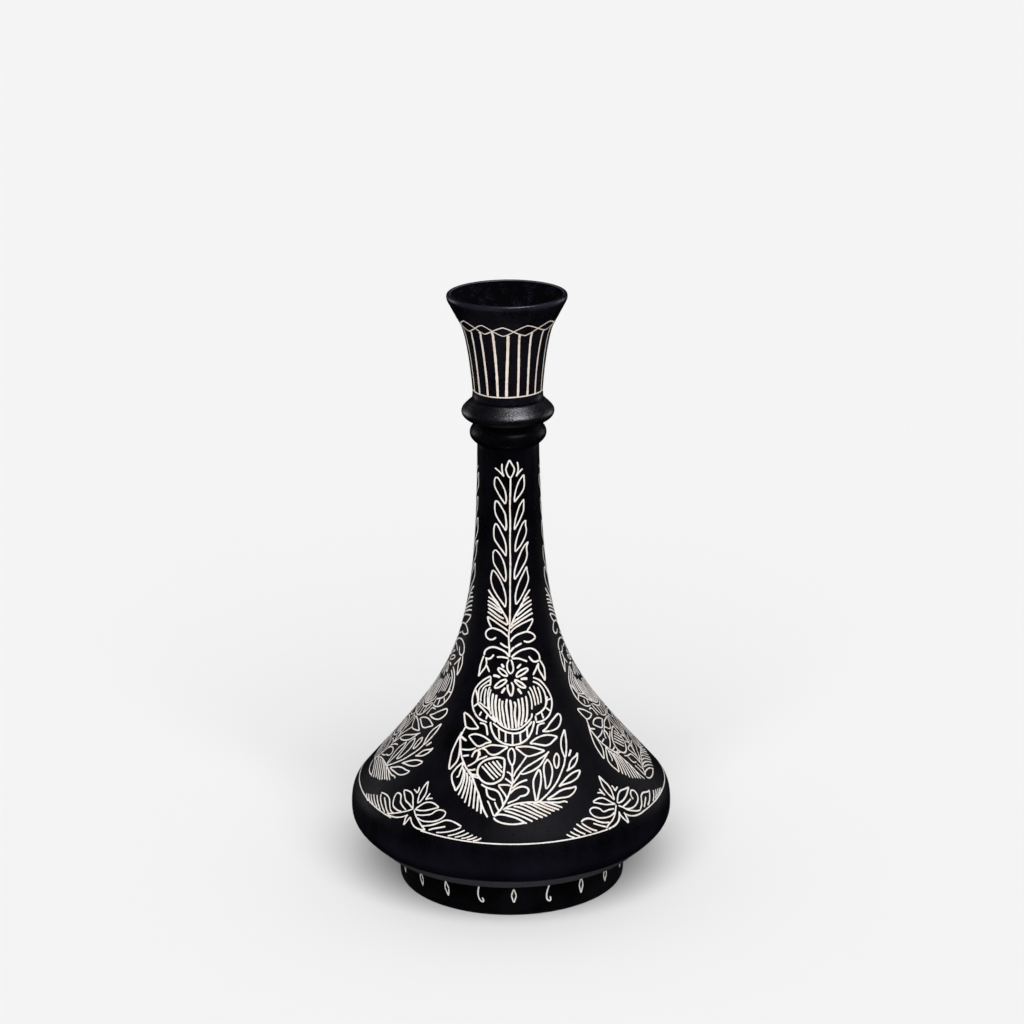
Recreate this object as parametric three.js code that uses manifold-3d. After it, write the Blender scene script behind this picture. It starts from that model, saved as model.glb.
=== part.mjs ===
// A tall black clay pot of the long-necked water-bottle form: a round belly on a foot ring, a
// narrow neck with two beads, and a flared cup for a mouth. It is thrown in sections that are
// luted together with slip, burnished and fired black. Lines cut into the clay are filled with
// a pale paste. Millimetres, +Z up, the origin at the middle of the foot's resting ring, and the
// middle of one of the four flowered panels facing -Y.
import * as THREE from 'three';
import { mergeVertices } from 'three/addons/utils/BufferGeometryUtils.js';
import Module from 'manifold-3d';

const wasm = await Module();
wasm.setup();

// ---- Driving dimensions ------------------------------------------------------------------
const HEIGHT = 301;
const FOOT_RADIUS = 57;
const FOOT_HEIGHT = 17.6;
const FOOT_INNER_RADIUS = 47;
const BELLY_RADIUS = 80.25; // the widest place
const BELLY_HEIGHT = 38.3; // the height of the widest place
const NECK_RADIUS = 15.05;
const NECK_BORE_RADIUS = 11;
const RIM_RADIUS = 29;
const WALL = 5; // the belly's wall
const FLOOR = 6; // the belly's floor

const SLIP = 0.3; // the slip between two sections
const SEGMENTS = 32; // facets round the belly and the foot
const SMALL_SEGMENTS = 24; // facets round the beads and the cup

const SEAM_HEIGHT = 46.5; // where the bowl and the bell meet
const BELLY_RING_HEIGHT = 49.5; // the line round the top of the belly
const LAP = 2; // how far a stepped joint laps
const COLLAR_BOTTOM = 226.6; // the lower bead starts here
const BEAD_SPLIT = 236.1; // the lower bead ends and the upper one starts
const CUP_BOTTOM = 248.7;
const SPIGOT_RADIUS = 13.15; // the neck's thin end, which the cup's socket takes

const FILL_RADIUS = 0.6; // half the width of a filled line
const FILL_DEPTH = 0.35; // how far below the surface a line's middle lies
const STRAND_SIDES = 4;
const LOZENGE_LINE = 0.9;

const PANELS = 4;
const FLUTES = 21;
const DIAMONDS = 13;
const LOZENGES = 20;

// ---- Materials -----------------------------------------------------------------------------
const burnishedClay = new THREE.MeshStandardMaterial({
  color: 0x0d0c10,
  roughness: 0.38,
  metalness: 0.0,
});
const bareClay = new THREE.MeshStandardMaterial({
  color: 0x0b0a0d,
  roughness: 0.55,
  metalness: 0.0,
});
const palePaste = new THREE.MeshStandardMaterial({
  color: 0xf0e4da,
  roughness: 0.6,
  metalness: 0.0,
});

// ---- Outlines: x is the radius and y the height ---------------------------------------------
const at = (radius, height) => new THREE.Vector2(radius, height);

// The belly's outside from its lower edge up to the widest place.
const bellyLower = new THREE.Path()
  .moveTo(67.2, 20.1)
  .lineTo(73.7, 26)
  .bezierCurveTo(79.2, 31.1, BELLY_RADIUS, 33.5, BELLY_RADIUS, BELLY_HEIGHT);

// The quick turn from the widest place into the shoulder.
const bellyUpper = new THREE.Path()
  .moveTo(BELLY_RADIUS, BELLY_HEIGHT)
  .bezierCurveTo(BELLY_RADIUS, 44.3, 79.3, 47.5, 77, 50.27);

// One long ogee from the shoulder to the top of the neck.
const shoulderAndNeck = new THREE.Path()
  .moveTo(77, 50.27)
  .bezierCurveTo(27.29, 109.19, 16.83, 116.48, NECK_RADIUS, COLLAR_BOTTOM);

// The mouth cup's outside: a slow flare that turns into a straight one.
const cupSide = new THREE.Path()
  .moveTo(16.9, CUP_BOTTOM)
  .lineTo(16.5, 251.5)
  .bezierCurveTo(17.4, 262, 19.6, 278.5, 22.1, 284.8)
  .lineTo(28.4, 297.5)
  .lineTo(RIM_RADIUS, HEIGHT - 1.2)
  .lineTo(28.6, HEIGHT - 0.3)
  .lineTo(27.7, HEIGHT)
  .lineTo(26.8, HEIGHT - 0.3)
  .lineTo(26.4, HEIGHT - 1.2);

const cupInside = new THREE.Path()
  .moveTo(26.4, HEIGHT - 1.2)
  .lineTo(19.4, 284.4)
  .bezierCurveTo(16.5, 276, 13.2, 264, NECK_BORE_RADIUS, 254);

const lowerBead = new THREE.Path()
  .moveTo(15.5, COLLAR_BOTTOM)
  .bezierCurveTo(16.2, 227.6, 18.4, 228.6, 18.4, 231.3)
  .bezierCurveTo(18.4, 233.8, 16.7, 234.9, 16.1, BEAD_SPLIT - SLIP);

const upperBead = new THREE.Path()
  .moveTo(16.2, BEAD_SPLIT)
  .lineTo(16.8, 237)
  .bezierCurveTo(19.6, 238.6, 22.3, 239.6, 22.3, 242.2)
  .bezierCurveTo(22.3, 244.8, 19.2, 246, 17, CUP_BOTTOM - SLIP);

// The points of a path, its curves split into `divisions`.
const trace = (path, divisions) => path.getPoints(divisions);

// A traced outline cut off below `low` or above `high`, with a new point on the cut.
function between(points, low, high) {
  const kept = [];
  points.forEach((p, i) => {
    const before = points[i - 1];
    for (const cut of [low, high]) {
      if (before && (before.y - cut) * (p.y - cut) < 0) {
        kept.push(before.clone().lerp(p, (cut - before.y) / (p.y - before.y)));
      }
    }
    if (p.y >= low && p.y <= high) kept.push(p);
  });
  return kept;
}

// An outline moved inwards, square to itself, so that the wall has an even thickness.
function inward(points, thickness) {
  return points.map((p, i) => {
    const along = points[Math.min(i + 1, points.length - 1)].clone();
    along.sub(points[Math.max(i - 1, 0)]).normalize();
    return at(p.x - along.y * thickness, p.y + along.x * thickness);
  });
}

// The radius of the pot's outside at a height.
const outside = [
  ...trace(bellyUpper, 5),
  ...trace(shoulderAndNeck, 12),
  ...trace(cupSide, 3),
];
function radiusAt(height) {
  const i = outside.findIndex((p, k) => k > 0 && p.y >= height && outside[k - 1].y <= height);
  const share = (height - outside[i - 1].y) / (outside[i].y - outside[i - 1].y || 1);
  return outside[i - 1].x + share * (outside[i].x - outside[i - 1].x);
}

// ---- Solids ----------------------------------------------------------------------------------
// A closed geometry as a solid that can be cut and joined.
function solidOf(geometry) {
  const bare = geometry.clone();
  bare.deleteAttribute('normal');
  bare.deleteAttribute('uv');
  const merged = mergeVertices(bare, 1e-3);
  const mesh = new wasm.Mesh({
    numProp: 3,
    vertProperties: merged.attributes.position.array,
    triVerts: new Uint32Array(merged.index.array),
  });
  return new wasm.Manifold(mesh);
}

function geometryOf(solid) {
  const mesh = solid.getMesh();
  const geometry = new THREE.BufferGeometry();
  geometry.setAttribute('position', new THREE.BufferAttribute(mesh.vertProperties, 3));
  geometry.setIndex(new THREE.BufferAttribute(mesh.triVerts, 1));
  geometry.computeVertexNormals();
  return geometry;
}

const joined = (solids) => solids.reduce((all, next) => all.add(next));

// A turned piece: an outline, given anticlockwise, spun round the Z axis.
function turned(outline) {
  const onAxis = outline.at(-1).x === 0 && outline[0].x === 0;
  const segments = Math.max(...outline.map((p) => p.x)) > 30 ? SEGMENTS : SMALL_SEGMENTS;
  const closed = onAxis ? outline : [...outline, outline[0]];
  return new THREE.LatheGeometry(closed, segments).rotateX(Math.PI / 2);
}

// A point in a line's bed: `angle` runs anticlockwise from the front of the pot.
function bed(angle, height, radius = radiusAt(height)) {
  const inset = radius - FILL_DEPTH;
  return new THREE.Vector3(inset * Math.sin(angle), -inset * Math.cos(angle), height);
}

// A thin round strand through `points`. The bed cut for it is SLIP wider and longer.
function strand(points, steps, clearance) {
  const path = points.map((p) => p.clone());
  if (clearance) {
    const grow = (end, next) => end.add(end.clone().sub(next).setLength(clearance));
    grow(path[0], points[1]);
    grow(path.at(-1), points.at(-2));
  }
  const section = new THREE.Shape(
    new THREE.EllipseCurve(0, 0, FILL_RADIUS + clearance, FILL_RADIUS + clearance)
      .getPoints(STRAND_SIDES)
      .slice(0, -1),
  );
  const curve = new THREE.CatmullRomCurve3(path);
  return solidOf(
    new THREE.ExtrudeGeometry(section, { steps, extrudePath: curve, bevelEnabled: false }),
  );
}

// A level ring round the pot at a height.
function ringLine(height, clearance) {
  const radius = radiusAt(height) - FILL_DEPTH;
  const segments = radius > 30 ? SEGMENTS : SMALL_SEGMENTS;
  const ring = new THREE.TorusGeometry(radius, FILL_RADIUS + clearance, STRAND_SIDES, segments);
  return solidOf(ring.translate(0, 0, height));
}

// ---- Filled lines: each function makes the fill, or with a clearance the bed cut for it -------
function bellyRing(clearance) {
  return ringLine(BELLY_RING_HEIGHT, clearance);
}

// Upright flutes round the lower half of the mouth cup, standing on a ring.
function cupFlutes(clearance) {
  const low = 253.6;
  const high = 281.2;
  const solids = [ringLine(low, clearance)];
  for (let i = 0; i < FLUTES; i += 1) {
    const angle = (i / FLUTES) * 2 * Math.PI;
    const heights = [low, (low + high) / 2, high];
    solids.push(strand(heights.map((z) => bed(angle, z)), 2, clearance));
  }
  return joined(solids);
}

// Two waving lines that cross, which leaves a row of diamonds between them.
function cupDiamonds(clearance) {
  const middle = 285.2;
  const rise = 1.9;
  const solids = [];
  for (let i = 0; i < DIAMONDS; i += 1) {
    const ends = [i, i + 1].map((peak) => (peak / DIAMONDS) * 2 * Math.PI);
    for (const side of [1, -1]) {
      const swing = i % 2 ? -side * rise : side * rise;
      const crossing = bed((ends[0] + ends[1]) / 2, middle);
      const points = [bed(ends[0], middle - swing), crossing, bed(ends[1], middle + swing)];
      solids.push(strand(points, 2, clearance));
    }
  }
  return joined(solids);
}

// The four corners of an upright lozenge, `grow` larger on every side.
function lozengeCorners(halfWidth, halfHeight, grow) {
  const slant = Math.hypot(halfWidth, halfHeight);
  const wide = halfWidth + (grow * slant) / halfHeight;
  const tall = halfHeight + (grow * slant) / halfWidth;
  return [at(wide, 0), at(0, tall), at(-wide, 0), at(0, -tall)];
}

// A closed lozenge on the foot's side: a flat outline with an open middle.
function footLozenge(angle, clearance) {
  const middle = 8.6;
  const half = 0.5 * LOZENGE_LINE + clearance;
  const outline = new THREE.Shape(lozengeCorners(1.2, 3, half));
  outline.holes.push(new THREE.Path(lozengeCorners(1.2, 3, -half)));
  const depth = 1 + 2 * clearance;
  const plate = new THREE.ExtrudeGeometry(outline, { depth, bevelEnabled: false });
  plate.rotateX(Math.PI / 2).translate(0, -(FOOT_RADIUS - 1 - clearance), middle);
  return solidOf(plate.rotateZ(angle));
}

// A panel's long stem with its feathered barbs.
function panelStem(angle, clearance) {
  const low = 124;
  const high = 212;
  const barbs = 3;
  const barbReach = 10;
  const barbRise = 6.5;
  const heights = [0, 0.2, 0.4, 0.6, 0.8, 1].map((share) => low + share * (high - low));
  const solids = [strand(heights.map((z) => bed(angle, z)), 4, clearance)];
  for (let i = 0; i < barbs; i += 1) {
    const root = 133 + i * 6;
    const tip = root + barbRise;
    for (const side of [1, -1]) {
      const reach = (side * barbReach) / radiusAt(tip);
      solids.push(strand([bed(angle, root), bed(angle + reach, tip)], 1, clearance));
    }
  }
  return joined(solids);
}

// The spray that stands on the belly's ring between two panels: a spear leaf and two arms.
function beltSpray(angle, clearance) {
  const heart = 56.5;
  const spear = [52.4, heart, 62, 68].map((z) => bed(angle, z));
  const arms = [1, -1].map((side) => [
    bed(angle, heart),
    bed(angle + (side * 7) / radiusAt(58.5), 58.5),
    bed(angle + (side * 14) / radiusAt(54.5), 54.5),
  ]);
  return joined([spear, ...arms].map((points) => strand(points, 2, clearance)));
}

// ---- Clay sections -----------------------------------------------------------------------------
const footRing = [
  at(FOOT_INNER_RADIUS + 1.5, 0),
  at(FOOT_RADIUS - 1.6, 0),
  at(FOOT_RADIUS - 0.6, 1),
  at(FOOT_RADIUS, FOOT_HEIGHT),
  at(FOOT_INNER_RADIUS, FOOT_HEIGHT),
  at(FOOT_INNER_RADIUS, 1.5),
];

// The bowl: a flat floor, the belly, and a rebate inside its lip that takes the bell's tongue.
function bowlOutline() {
  const belly = [...trace(bellyLower, 6), ...trace(bellyUpper, 5).slice(1)];
  const step = radiusAt(SEAM_HEIGHT) - WALL / 2;
  const stepBottom = SEAM_HEIGHT - LAP;
  const inside = between(inward(belly, WALL), FOOT_HEIGHT + SLIP + FLOOR, stepBottom);
  return [
    at(0, FOOT_HEIGHT + SLIP),
    at(FOOT_RADIUS + 0.6, FOOT_HEIGHT + SLIP),
    ...between(belly, 0, SEAM_HEIGHT),
    at(step, SEAM_HEIGHT),
    at(step, stepBottom),
    ...inside.reverse(),
    at(0, FOOT_HEIGHT + SLIP + FLOOR),
  ];
}

// The bell: the shoulder and the whole neck, with its tube running up inside the two beads.
function bellOutline() {
  const outer = [...trace(bellyUpper, 5), ...trace(shoulderAndNeck, 12).slice(1)];
  const step = radiusAt(SEAM_HEIGHT) - WALL / 2 - SLIP;
  const tongueBottom = SEAM_HEIGHT - LAP + SLIP;
  const tubeTop = CUP_BOTTOM - SLIP;
  const inside = [...trace(bellyUpper, 3), ...trace(shoulderAndNeck, 8).slice(1)];
  const inner = between(inward(inside, WALL), tongueBottom, COLLAR_BOTTOM);
  return [
    at(step, tongueBottom),
    at(step, SEAM_HEIGHT + SLIP),
    ...between(outer, SEAM_HEIGHT + SLIP, COLLAR_BOTTOM),
    at(NECK_RADIUS, tubeTop),
    at(SPIGOT_RADIUS, tubeTop),
    at(SPIGOT_RADIUS, tubeTop + LAP),
    at(NECK_BORE_RADIUS, tubeTop + LAP),
    ...inner.reverse().map((p) => at(Math.max(p.x, NECK_BORE_RADIUS), p.y)),
  ];
}

// A bead: its outline closed by the sleeve that fits the neck's tube.
function beadOutline(path) {
  const skin = trace(path, 3);
  const sleeve = NECK_RADIUS + SLIP;
  return [at(sleeve, skin[0].y), ...skin, at(sleeve, skin.at(-1).y)];
}

function cupOutline() {
  const socket = SPIGOT_RADIUS + SLIP;
  const socketTop = CUP_BOTTOM + LAP;
  return [
    ...trace(cupSide, 3),
    ...trace(cupInside, 3).slice(1),
    at(NECK_BORE_RADIUS, socketTop),
    at(socket, socketTop),
    at(socket, CUP_BOTTOM),
  ];
}

// ---- Assembly ----------------------------------------------------------------------------------
const pot = new THREE.Group();

function addPiece(name, geometry, material) {
  const mesh = new THREE.Mesh(geometry, material);
  mesh.name = name;
  pot.add(mesh);
}

// A clay section with the beds of its filled lines cut into it.
function addClay(name, outline, material, beds = []) {
  let geometry = turned(outline);
  if (beds.length) geometry = geometryOf(solidOf(geometry).subtract(joined(beds)));
  addPiece(name, geometry, material);
}

const turn = (i, count, offset = 0) => ((i + offset) / count) * 2 * Math.PI;
const everyPanel = Array.from({ length: PANELS }, (_, i) => i);
const everyLozenge = Array.from({ length: LOZENGES }, (_, i) => i);
const lozengeBeds = everyLozenge.map((i) => footLozenge(turn(i, LOZENGES), SLIP));

addClay('foot_ring', footRing, bareClay, lozengeBeds);
addClay('belly_bowl', bowlOutline(), burnishedClay);
addClay('neck_bell', bellOutline(), burnishedClay, [
  bellyRing(SLIP),
  ...everyPanel.map((i) => panelStem(turn(i, PANELS), SLIP)),
  ...everyPanel.map((i) => beltSpray(turn(i, PANELS, 0.5), SLIP)),
]);
addClay('lower_bead', beadOutline(lowerBead), burnishedClay);
addClay('upper_bead', beadOutline(upperBead), burnishedClay);
addClay('mouth_cup', cupOutline(), burnishedClay, [cupFlutes(SLIP), cupDiamonds(SLIP)]);

addPiece('belly_ring_fill', geometryOf(bellyRing(0)), palePaste);
addPiece('cup_flute_fill', geometryOf(cupFlutes(0)), palePaste);
addPiece('cup_diamond_fill', geometryOf(cupDiamonds(0)), palePaste);
for (const i of everyPanel) {
  addPiece(`panel_fill_${i + 1}`, geometryOf(panelStem(turn(i, PANELS), 0)), palePaste);
  addPiece(`spray_fill_${i + 1}`, geometryOf(beltSpray(turn(i, PANELS, 0.5), 0)), palePaste);
}
for (const i of everyLozenge) {
  addPiece(`foot_lozenge_fill_${i + 1}`, geometryOf(footLozenge(turn(i, LOZENGES), 0)), palePaste);
}

export default pot;
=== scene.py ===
"""A tall black clay water bottle, drawn all over with cut lines that are filled with a pale paste.

The clay sections and the filled lines are surfaces worked out with numpy from a few turned
outlines. Sizes in the classes are millimetres; meshes are made in metres, +Z up, with the middle
of one flowered panel facing -Y. A drawing is laid out flat first: u runs round the pot to the
right and s runs up its skin, both in millimetres.
"""

from __future__ import annotations

import logging
import math
from dataclasses import dataclass, field
from enum import Enum

import bpy
import numpy as np
from mathutils import Euler, Matrix, Vector


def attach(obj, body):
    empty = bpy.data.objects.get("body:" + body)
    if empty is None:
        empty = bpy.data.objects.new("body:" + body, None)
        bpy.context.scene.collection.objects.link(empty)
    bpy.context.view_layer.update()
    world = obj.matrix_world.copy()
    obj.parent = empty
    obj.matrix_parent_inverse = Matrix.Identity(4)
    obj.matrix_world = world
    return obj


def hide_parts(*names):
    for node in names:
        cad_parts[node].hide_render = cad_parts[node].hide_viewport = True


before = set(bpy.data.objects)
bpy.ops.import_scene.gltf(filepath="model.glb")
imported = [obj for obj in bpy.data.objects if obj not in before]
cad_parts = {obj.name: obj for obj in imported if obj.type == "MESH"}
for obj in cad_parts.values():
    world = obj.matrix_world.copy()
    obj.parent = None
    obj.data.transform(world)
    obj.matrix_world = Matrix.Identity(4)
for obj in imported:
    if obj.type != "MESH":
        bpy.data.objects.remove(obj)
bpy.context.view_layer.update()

LOG = logging.getLogger("clay_bottle")
MM = 0.001
BODY = "root"
Place = tuple[float, float]
Path = tuple[Place, ...]
Spot = tuple[float, float, float]
Colour = tuple[float, float, float, float]
Socket = bpy.types.NodeSocket


# ---- Curves and turned outlines -------------------------------------------------------------


def bezier(a: Place, b: Place, c: Place, d: Place, steps: int) -> np.ndarray:
    """A cubic curve: the four points weighted by (1-t)^3, 3t(1-t)^2, 3t^2(1-t) and t^3.

    Args:
        a: The start, as (radius, height).
        b: The first handle.
        c: The second handle.
        d: The end.
        steps: The number of pieces the curve is cut into.

    Returns:
        Its points, one row each, the start left out.
    """
    t = np.linspace(0.0, 1.0, steps + 1)[1:, None]
    pa, pb, pc, pd = (np.array(p, float) for p in (a, b, c, d))
    return (1 - t) ** 3 * pa + 3 * t * (1 - t) ** 2 * pb + 3 * t**2 * (1 - t) * pc + t**3 * pd


def straight(a: Place, b: Place, steps: int = 1) -> np.ndarray:
    """A straight run from a to b in equal steps, the start left out."""
    t = np.linspace(0.0, 1.0, steps + 1)[1:, None]
    return np.array(a, float) + t * (np.array(b, float) - np.array(a, float))


def rounded(a: Place, corner: Place, b: Place, size: float, steps: int = 4) -> np.ndarray:
    """A soft corner: a curve that leaves a-corner and joins corner-b `size` away from the corner.

    Args:
        a: A point before the corner.
        corner: The corner.
        b: A point after the corner.
        size: How far from the corner the curve starts and ends.
        steps: The number of pieces the curve is cut into.

    Returns:
        Its points, the first one on a-corner.
    """
    pa, pc, pb = (np.array(p, float) for p in (a, corner, b))
    start = pc + (pa - pc) * size / np.linalg.norm(pa - pc)
    end = pc + (pb - pc) * size / np.linalg.norm(pb - pc)
    arc = bezier(tuple(start), tuple((start + 2 * pc) / 3), tuple((end + 2 * pc) / 3), tuple(end), steps)
    return np.vstack([start, arc])


def smooth_path(points: np.ndarray, spacing: float) -> np.ndarray:
    """A smooth curve through points: each span is a cubic whose end slopes are the chords' means.

    The parameter grows by the square root of each chord, which keeps tight turns free of loops.

    Args:
        points: The points to pass through, one row each.
        spacing: About how far apart the new points are.

    Returns:
        The curve's points.
    """
    if len(points) == 2:
        count = max(2, int(np.linalg.norm(points[1] - points[0]) / spacing) + 1)
        t = np.linspace(0, 1, count)[:, None]
        return points[0] + t * (points[1] - points[0])
    chord = np.linalg.norm(np.diff(points, axis=0), axis=1)
    knots = np.concatenate([[0.0], np.cumsum(np.sqrt(chord))])
    gap = np.diff(knots)[:, None]
    slope = np.diff(points, axis=0) / gap
    inner = (slope[:-1] * gap[1:] + slope[1:] * gap[:-1]) / (gap[:-1] + gap[1:])
    ends = 1.5 * slope[[0, -1]] - 0.5 * inner[[0, -1]]
    tangent = np.vstack([ends[:1], inner, ends[1:]])
    where = np.linspace(0, knots[-1], max(8, int(chord.sum() / spacing) + 1))
    span = np.clip(np.searchsorted(knots, where, side="right") - 1, 0, len(chord) - 1)
    h = gap[span]
    t = ((where - knots[span]) / h[:, 0])[:, None]
    return (
        (2 * t**3 - 3 * t**2 + 1) * points[span]
        + (t**3 - 2 * t**2 + t) * h * tangent[span]
        + (3 * t**2 - 2 * t**3) * points[span + 1]
        + (t**3 - t**2) * h * tangent[span + 1]
    )


@dataclass
class Skin:
    """The outside of a turned section, measured by the distance s along its outline.

    Attributes:
        outline: Radius and height of the outline's points, from the bottom up.
        zero_height: The height at which s is 0.
        SLOPE_STEP: How far to each side of a place its slope is measured.
    """

    outline: np.ndarray
    zero_height: float
    _s: np.ndarray = field(init=False)

    SLOPE_STEP = 0.4

    def __post_init__(self) -> None:
        """Adds up the distance along the outline."""
        run = np.linalg.norm(np.diff(self.outline, axis=0), axis=1)
        self._s = np.concatenate([[0.0], np.cumsum(run)])
        self._s -= np.interp(self.zero_height, self.outline[:, 1], self._s)

    def s_at(self, height: float | np.ndarray) -> np.ndarray:
        """The distance s at a height."""
        return np.interp(height, self.outline[:, 1], self._s)

    def radius(self, s: np.ndarray) -> np.ndarray:
        """The radius at s."""
        return np.interp(s, self._s, self.outline[:, 0])

    def height(self, s: np.ndarray) -> np.ndarray:
        """The height at s."""
        return np.interp(s, self._s, self.outline[:, 1])

    def place(self, turn: np.ndarray, s: np.ndarray, lift: np.ndarray) -> np.ndarray:
        """Points over the skin: the outline at s, turned round Z, moved `lift` along its normal.

        Args:
            turn: Angles from -Y, anticlockwise seen from above, in radians.
            s: Distances along the outline.
            lift: Heights over the skin.

        Returns:
            Points in metres, with a last axis of three.
        """
        r, z = self.radius(s), self.height(s)
        above, below = s + self.SLOPE_STEP, s - self.SLOPE_STEP
        dr = self.radius(above) - self.radius(below)
        dz = self.height(above) - self.height(below)
        size = np.hypot(dr, dz) + 1e-9
        r, z = r + lift * dz / size, z - lift * dr / size
        return np.stack([r * np.sin(turn), -r * np.cos(turn), z], axis=-1) * MM


# ---- Meshes -----------------------------------------------------------------------------------


def hand_turned(points: np.ndarray) -> np.ndarray:
    """Points moved as a hand-thrown pot strays from true, in metres.

    The rim dips towards the back: z falls by 0.6 mm times (1 - cos of the angle from the front),
    eased in over the top 20 mm. Everywhere the radius shrinks by up to 0.4 % in slow waves round
    and up the pot, so that nothing grows past its turned size.

    Args:
        points: Corner positions, one row each.

    Returns:
        The moved positions.
    """
    x, y, z = points.T
    angle = np.arctan2(x, -y)
    share = np.clip((z - 0.281) / 0.02, 0, 1)
    dip = 0.0006 * (1 - np.cos(angle)) * share * share * (3 - 2 * share)
    wave = 0.5 + 0.25 * np.sin(3 * angle + 31 * z + 0.4) + 0.25 * np.sin(2 * angle - 57 * z + 2.1)
    shrink = 1 - 0.004 * wave * (np.hypot(x, y) > 0.001)
    return np.stack([x * shrink, y * shrink, z - dip], axis=-1)


def make_mesh(
    name: str, points: np.ndarray, faces: np.ndarray, triangles: np.ndarray | None = None
) -> bpy.types.Object:
    """A smooth-shaded object from whole arrays of corners and faces.

    Args:
        name: The object's name.
        points: Corner positions in metres, one row each.
        faces: Four-cornered faces, one row of corner numbers each.
        triangles: Three-cornered faces, if there are any.

    Returns:
        The object, linked to the scene, with its origin at the world's.
    """
    triangles = np.zeros((0, 3), int) if triangles is None else triangles
    corners = np.concatenate([faces.ravel(), triangles.ravel()]).astype(np.int32)
    sizes = np.concatenate([np.full(len(faces), 4), np.full(len(triangles), 3)])
    starts = np.concatenate([[0], np.cumsum(sizes)[:-1]]).astype(np.int32)
    mesh = bpy.data.meshes.new(name)
    mesh.vertices.add(len(points))
    mesh.vertices.foreach_set("co", np.ascontiguousarray(points, np.float32).ravel())
    mesh.loops.add(len(corners))
    mesh.loops.foreach_set("vertex_index", corners)
    mesh.polygons.add(len(sizes))
    mesh.polygons.foreach_set("loop_start", starts)
    mesh.update(calc_edges=True)
    mesh.validate()
    mesh.polygons.foreach_set("use_smooth", np.ones(len(mesh.polygons), bool))
    item = bpy.data.objects.new(name, mesh)
    bpy.context.scene.collection.objects.link(item)
    return item


def turned(name: str, outline: np.ndarray, segments: int) -> bpy.types.Object:
    """A turned piece: point (r, z) of the outline at angle a is at (r sin a, -r cos a, z).

    The outline runs from the bottom up the outside, over the top and back down the inside. It
    closes on itself, or starts and ends on the axis, where each end is one corner.

    Args:
        name: The object's name.
        outline: Radius and height of its points, in millimetres.
        segments: The number of faces round the piece.

    Returns:
        The object.
    """
    poles = outline[0, 0] < 1e-6 and outline[-1, 0] < 1e-6
    ring = outline[1:-1] if poles else outline
    angle = np.arange(segments) * 2 * math.pi / segments
    r, z = ring[:, :1], ring[:, 1:]
    points = np.stack([r * np.sin(angle), -r * np.cos(angle), z + 0 * angle], axis=-1).reshape(-1, 3)
    rows = len(ring)
    row, col = np.meshgrid(np.arange(rows - 1 if poles else rows), np.arange(segments), indexing="ij")
    up, side = (row + 1) % rows, (col + 1) % segments
    corner = [row * segments + col, row * segments + side, up * segments + side, up * segments + col]
    faces = np.stack(corner, axis=-1).reshape(-1, 4)
    triangles = None
    if poles:
        first, last = len(points), len(points) + 1
        ends = np.array([[0, 0, outline[0, 1]], [0, 0, outline[-1, 1]]], float)
        points = np.vstack([points, ends])
        here, there = np.arange(segments), (np.arange(segments) + 1) % segments
        top = (rows - 1) * segments
        bottom_fan = np.stack([there, here, np.full(segments, first)], axis=-1)
        top_fan = np.stack([top + here, top + there, np.full(segments, last)], axis=-1)
        triangles = np.vstack([bottom_fan, top_fan])
    return make_mesh(name, hand_turned(points * MM), faces, triangles)


# ---- Filled lines ------------------------------------------------------------------------------


class StrokeEnd(Enum):
    """How a cut line ends: rounded off, or tapering from its middle like a seed."""

    ROUND = "round"
    SEED = "seed"


@dataclass(frozen=True)
class Stroke:
    """One cut line, filled with paste.

    Attributes:
        points: Places (u, s) that it passes through.
        width: Its full width.
        end: How it ends.
    """

    points: Path
    width: float = 0.94
    end: StrokeEnd = StrokeEnd.ROUND


def lines(*paths: Path, width: float = 0.94) -> list[Stroke]:
    """One stroke through the places of each path."""
    return [Stroke(path, width) for path in paths]


def leaves(*outlines: tuple[Place, Path, Place, Path], width: float) -> list[Stroke]:
    """Leaf outlines: for each leaf one stroke up each side, from its base to its tip.

    Args:
        outlines: Each leaf's base, left side, tip and right side, both sides from the base up.
        width: The strokes' width.

    Returns:
        Two strokes for each leaf.
    """
    made = []
    for base, left, tip, right in outlines:
        made += [Stroke((base, *left, tip), width), Stroke((base, *right, tip), width)]
    return made


def comb(starts: Path, ends: Path, bow: float, width: float = 0.86) -> list[Stroke]:
    """A row of teeth: from each start to its end, bowed sideways by `bow` at the middle.

    Args:
        starts: Where the teeth leave the spine.
        ends: Where they end.
        bow: How far each middle stands off its chord, to the left of start-to-end.
        width: The strokes' width.

    Returns:
        One stroke for each tooth.
    """
    teeth = []
    for a, b in zip(starts, ends):
        du, ds = b[0] - a[0], b[1] - a[1]
        size = math.hypot(du, ds)
        middle = ((a[0] + b[0]) / 2 - bow * ds / size, (a[1] + b[1]) / 2 + bow * du / size)
        teeth.append(Stroke((a, middle, b), width))
    return teeth


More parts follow.
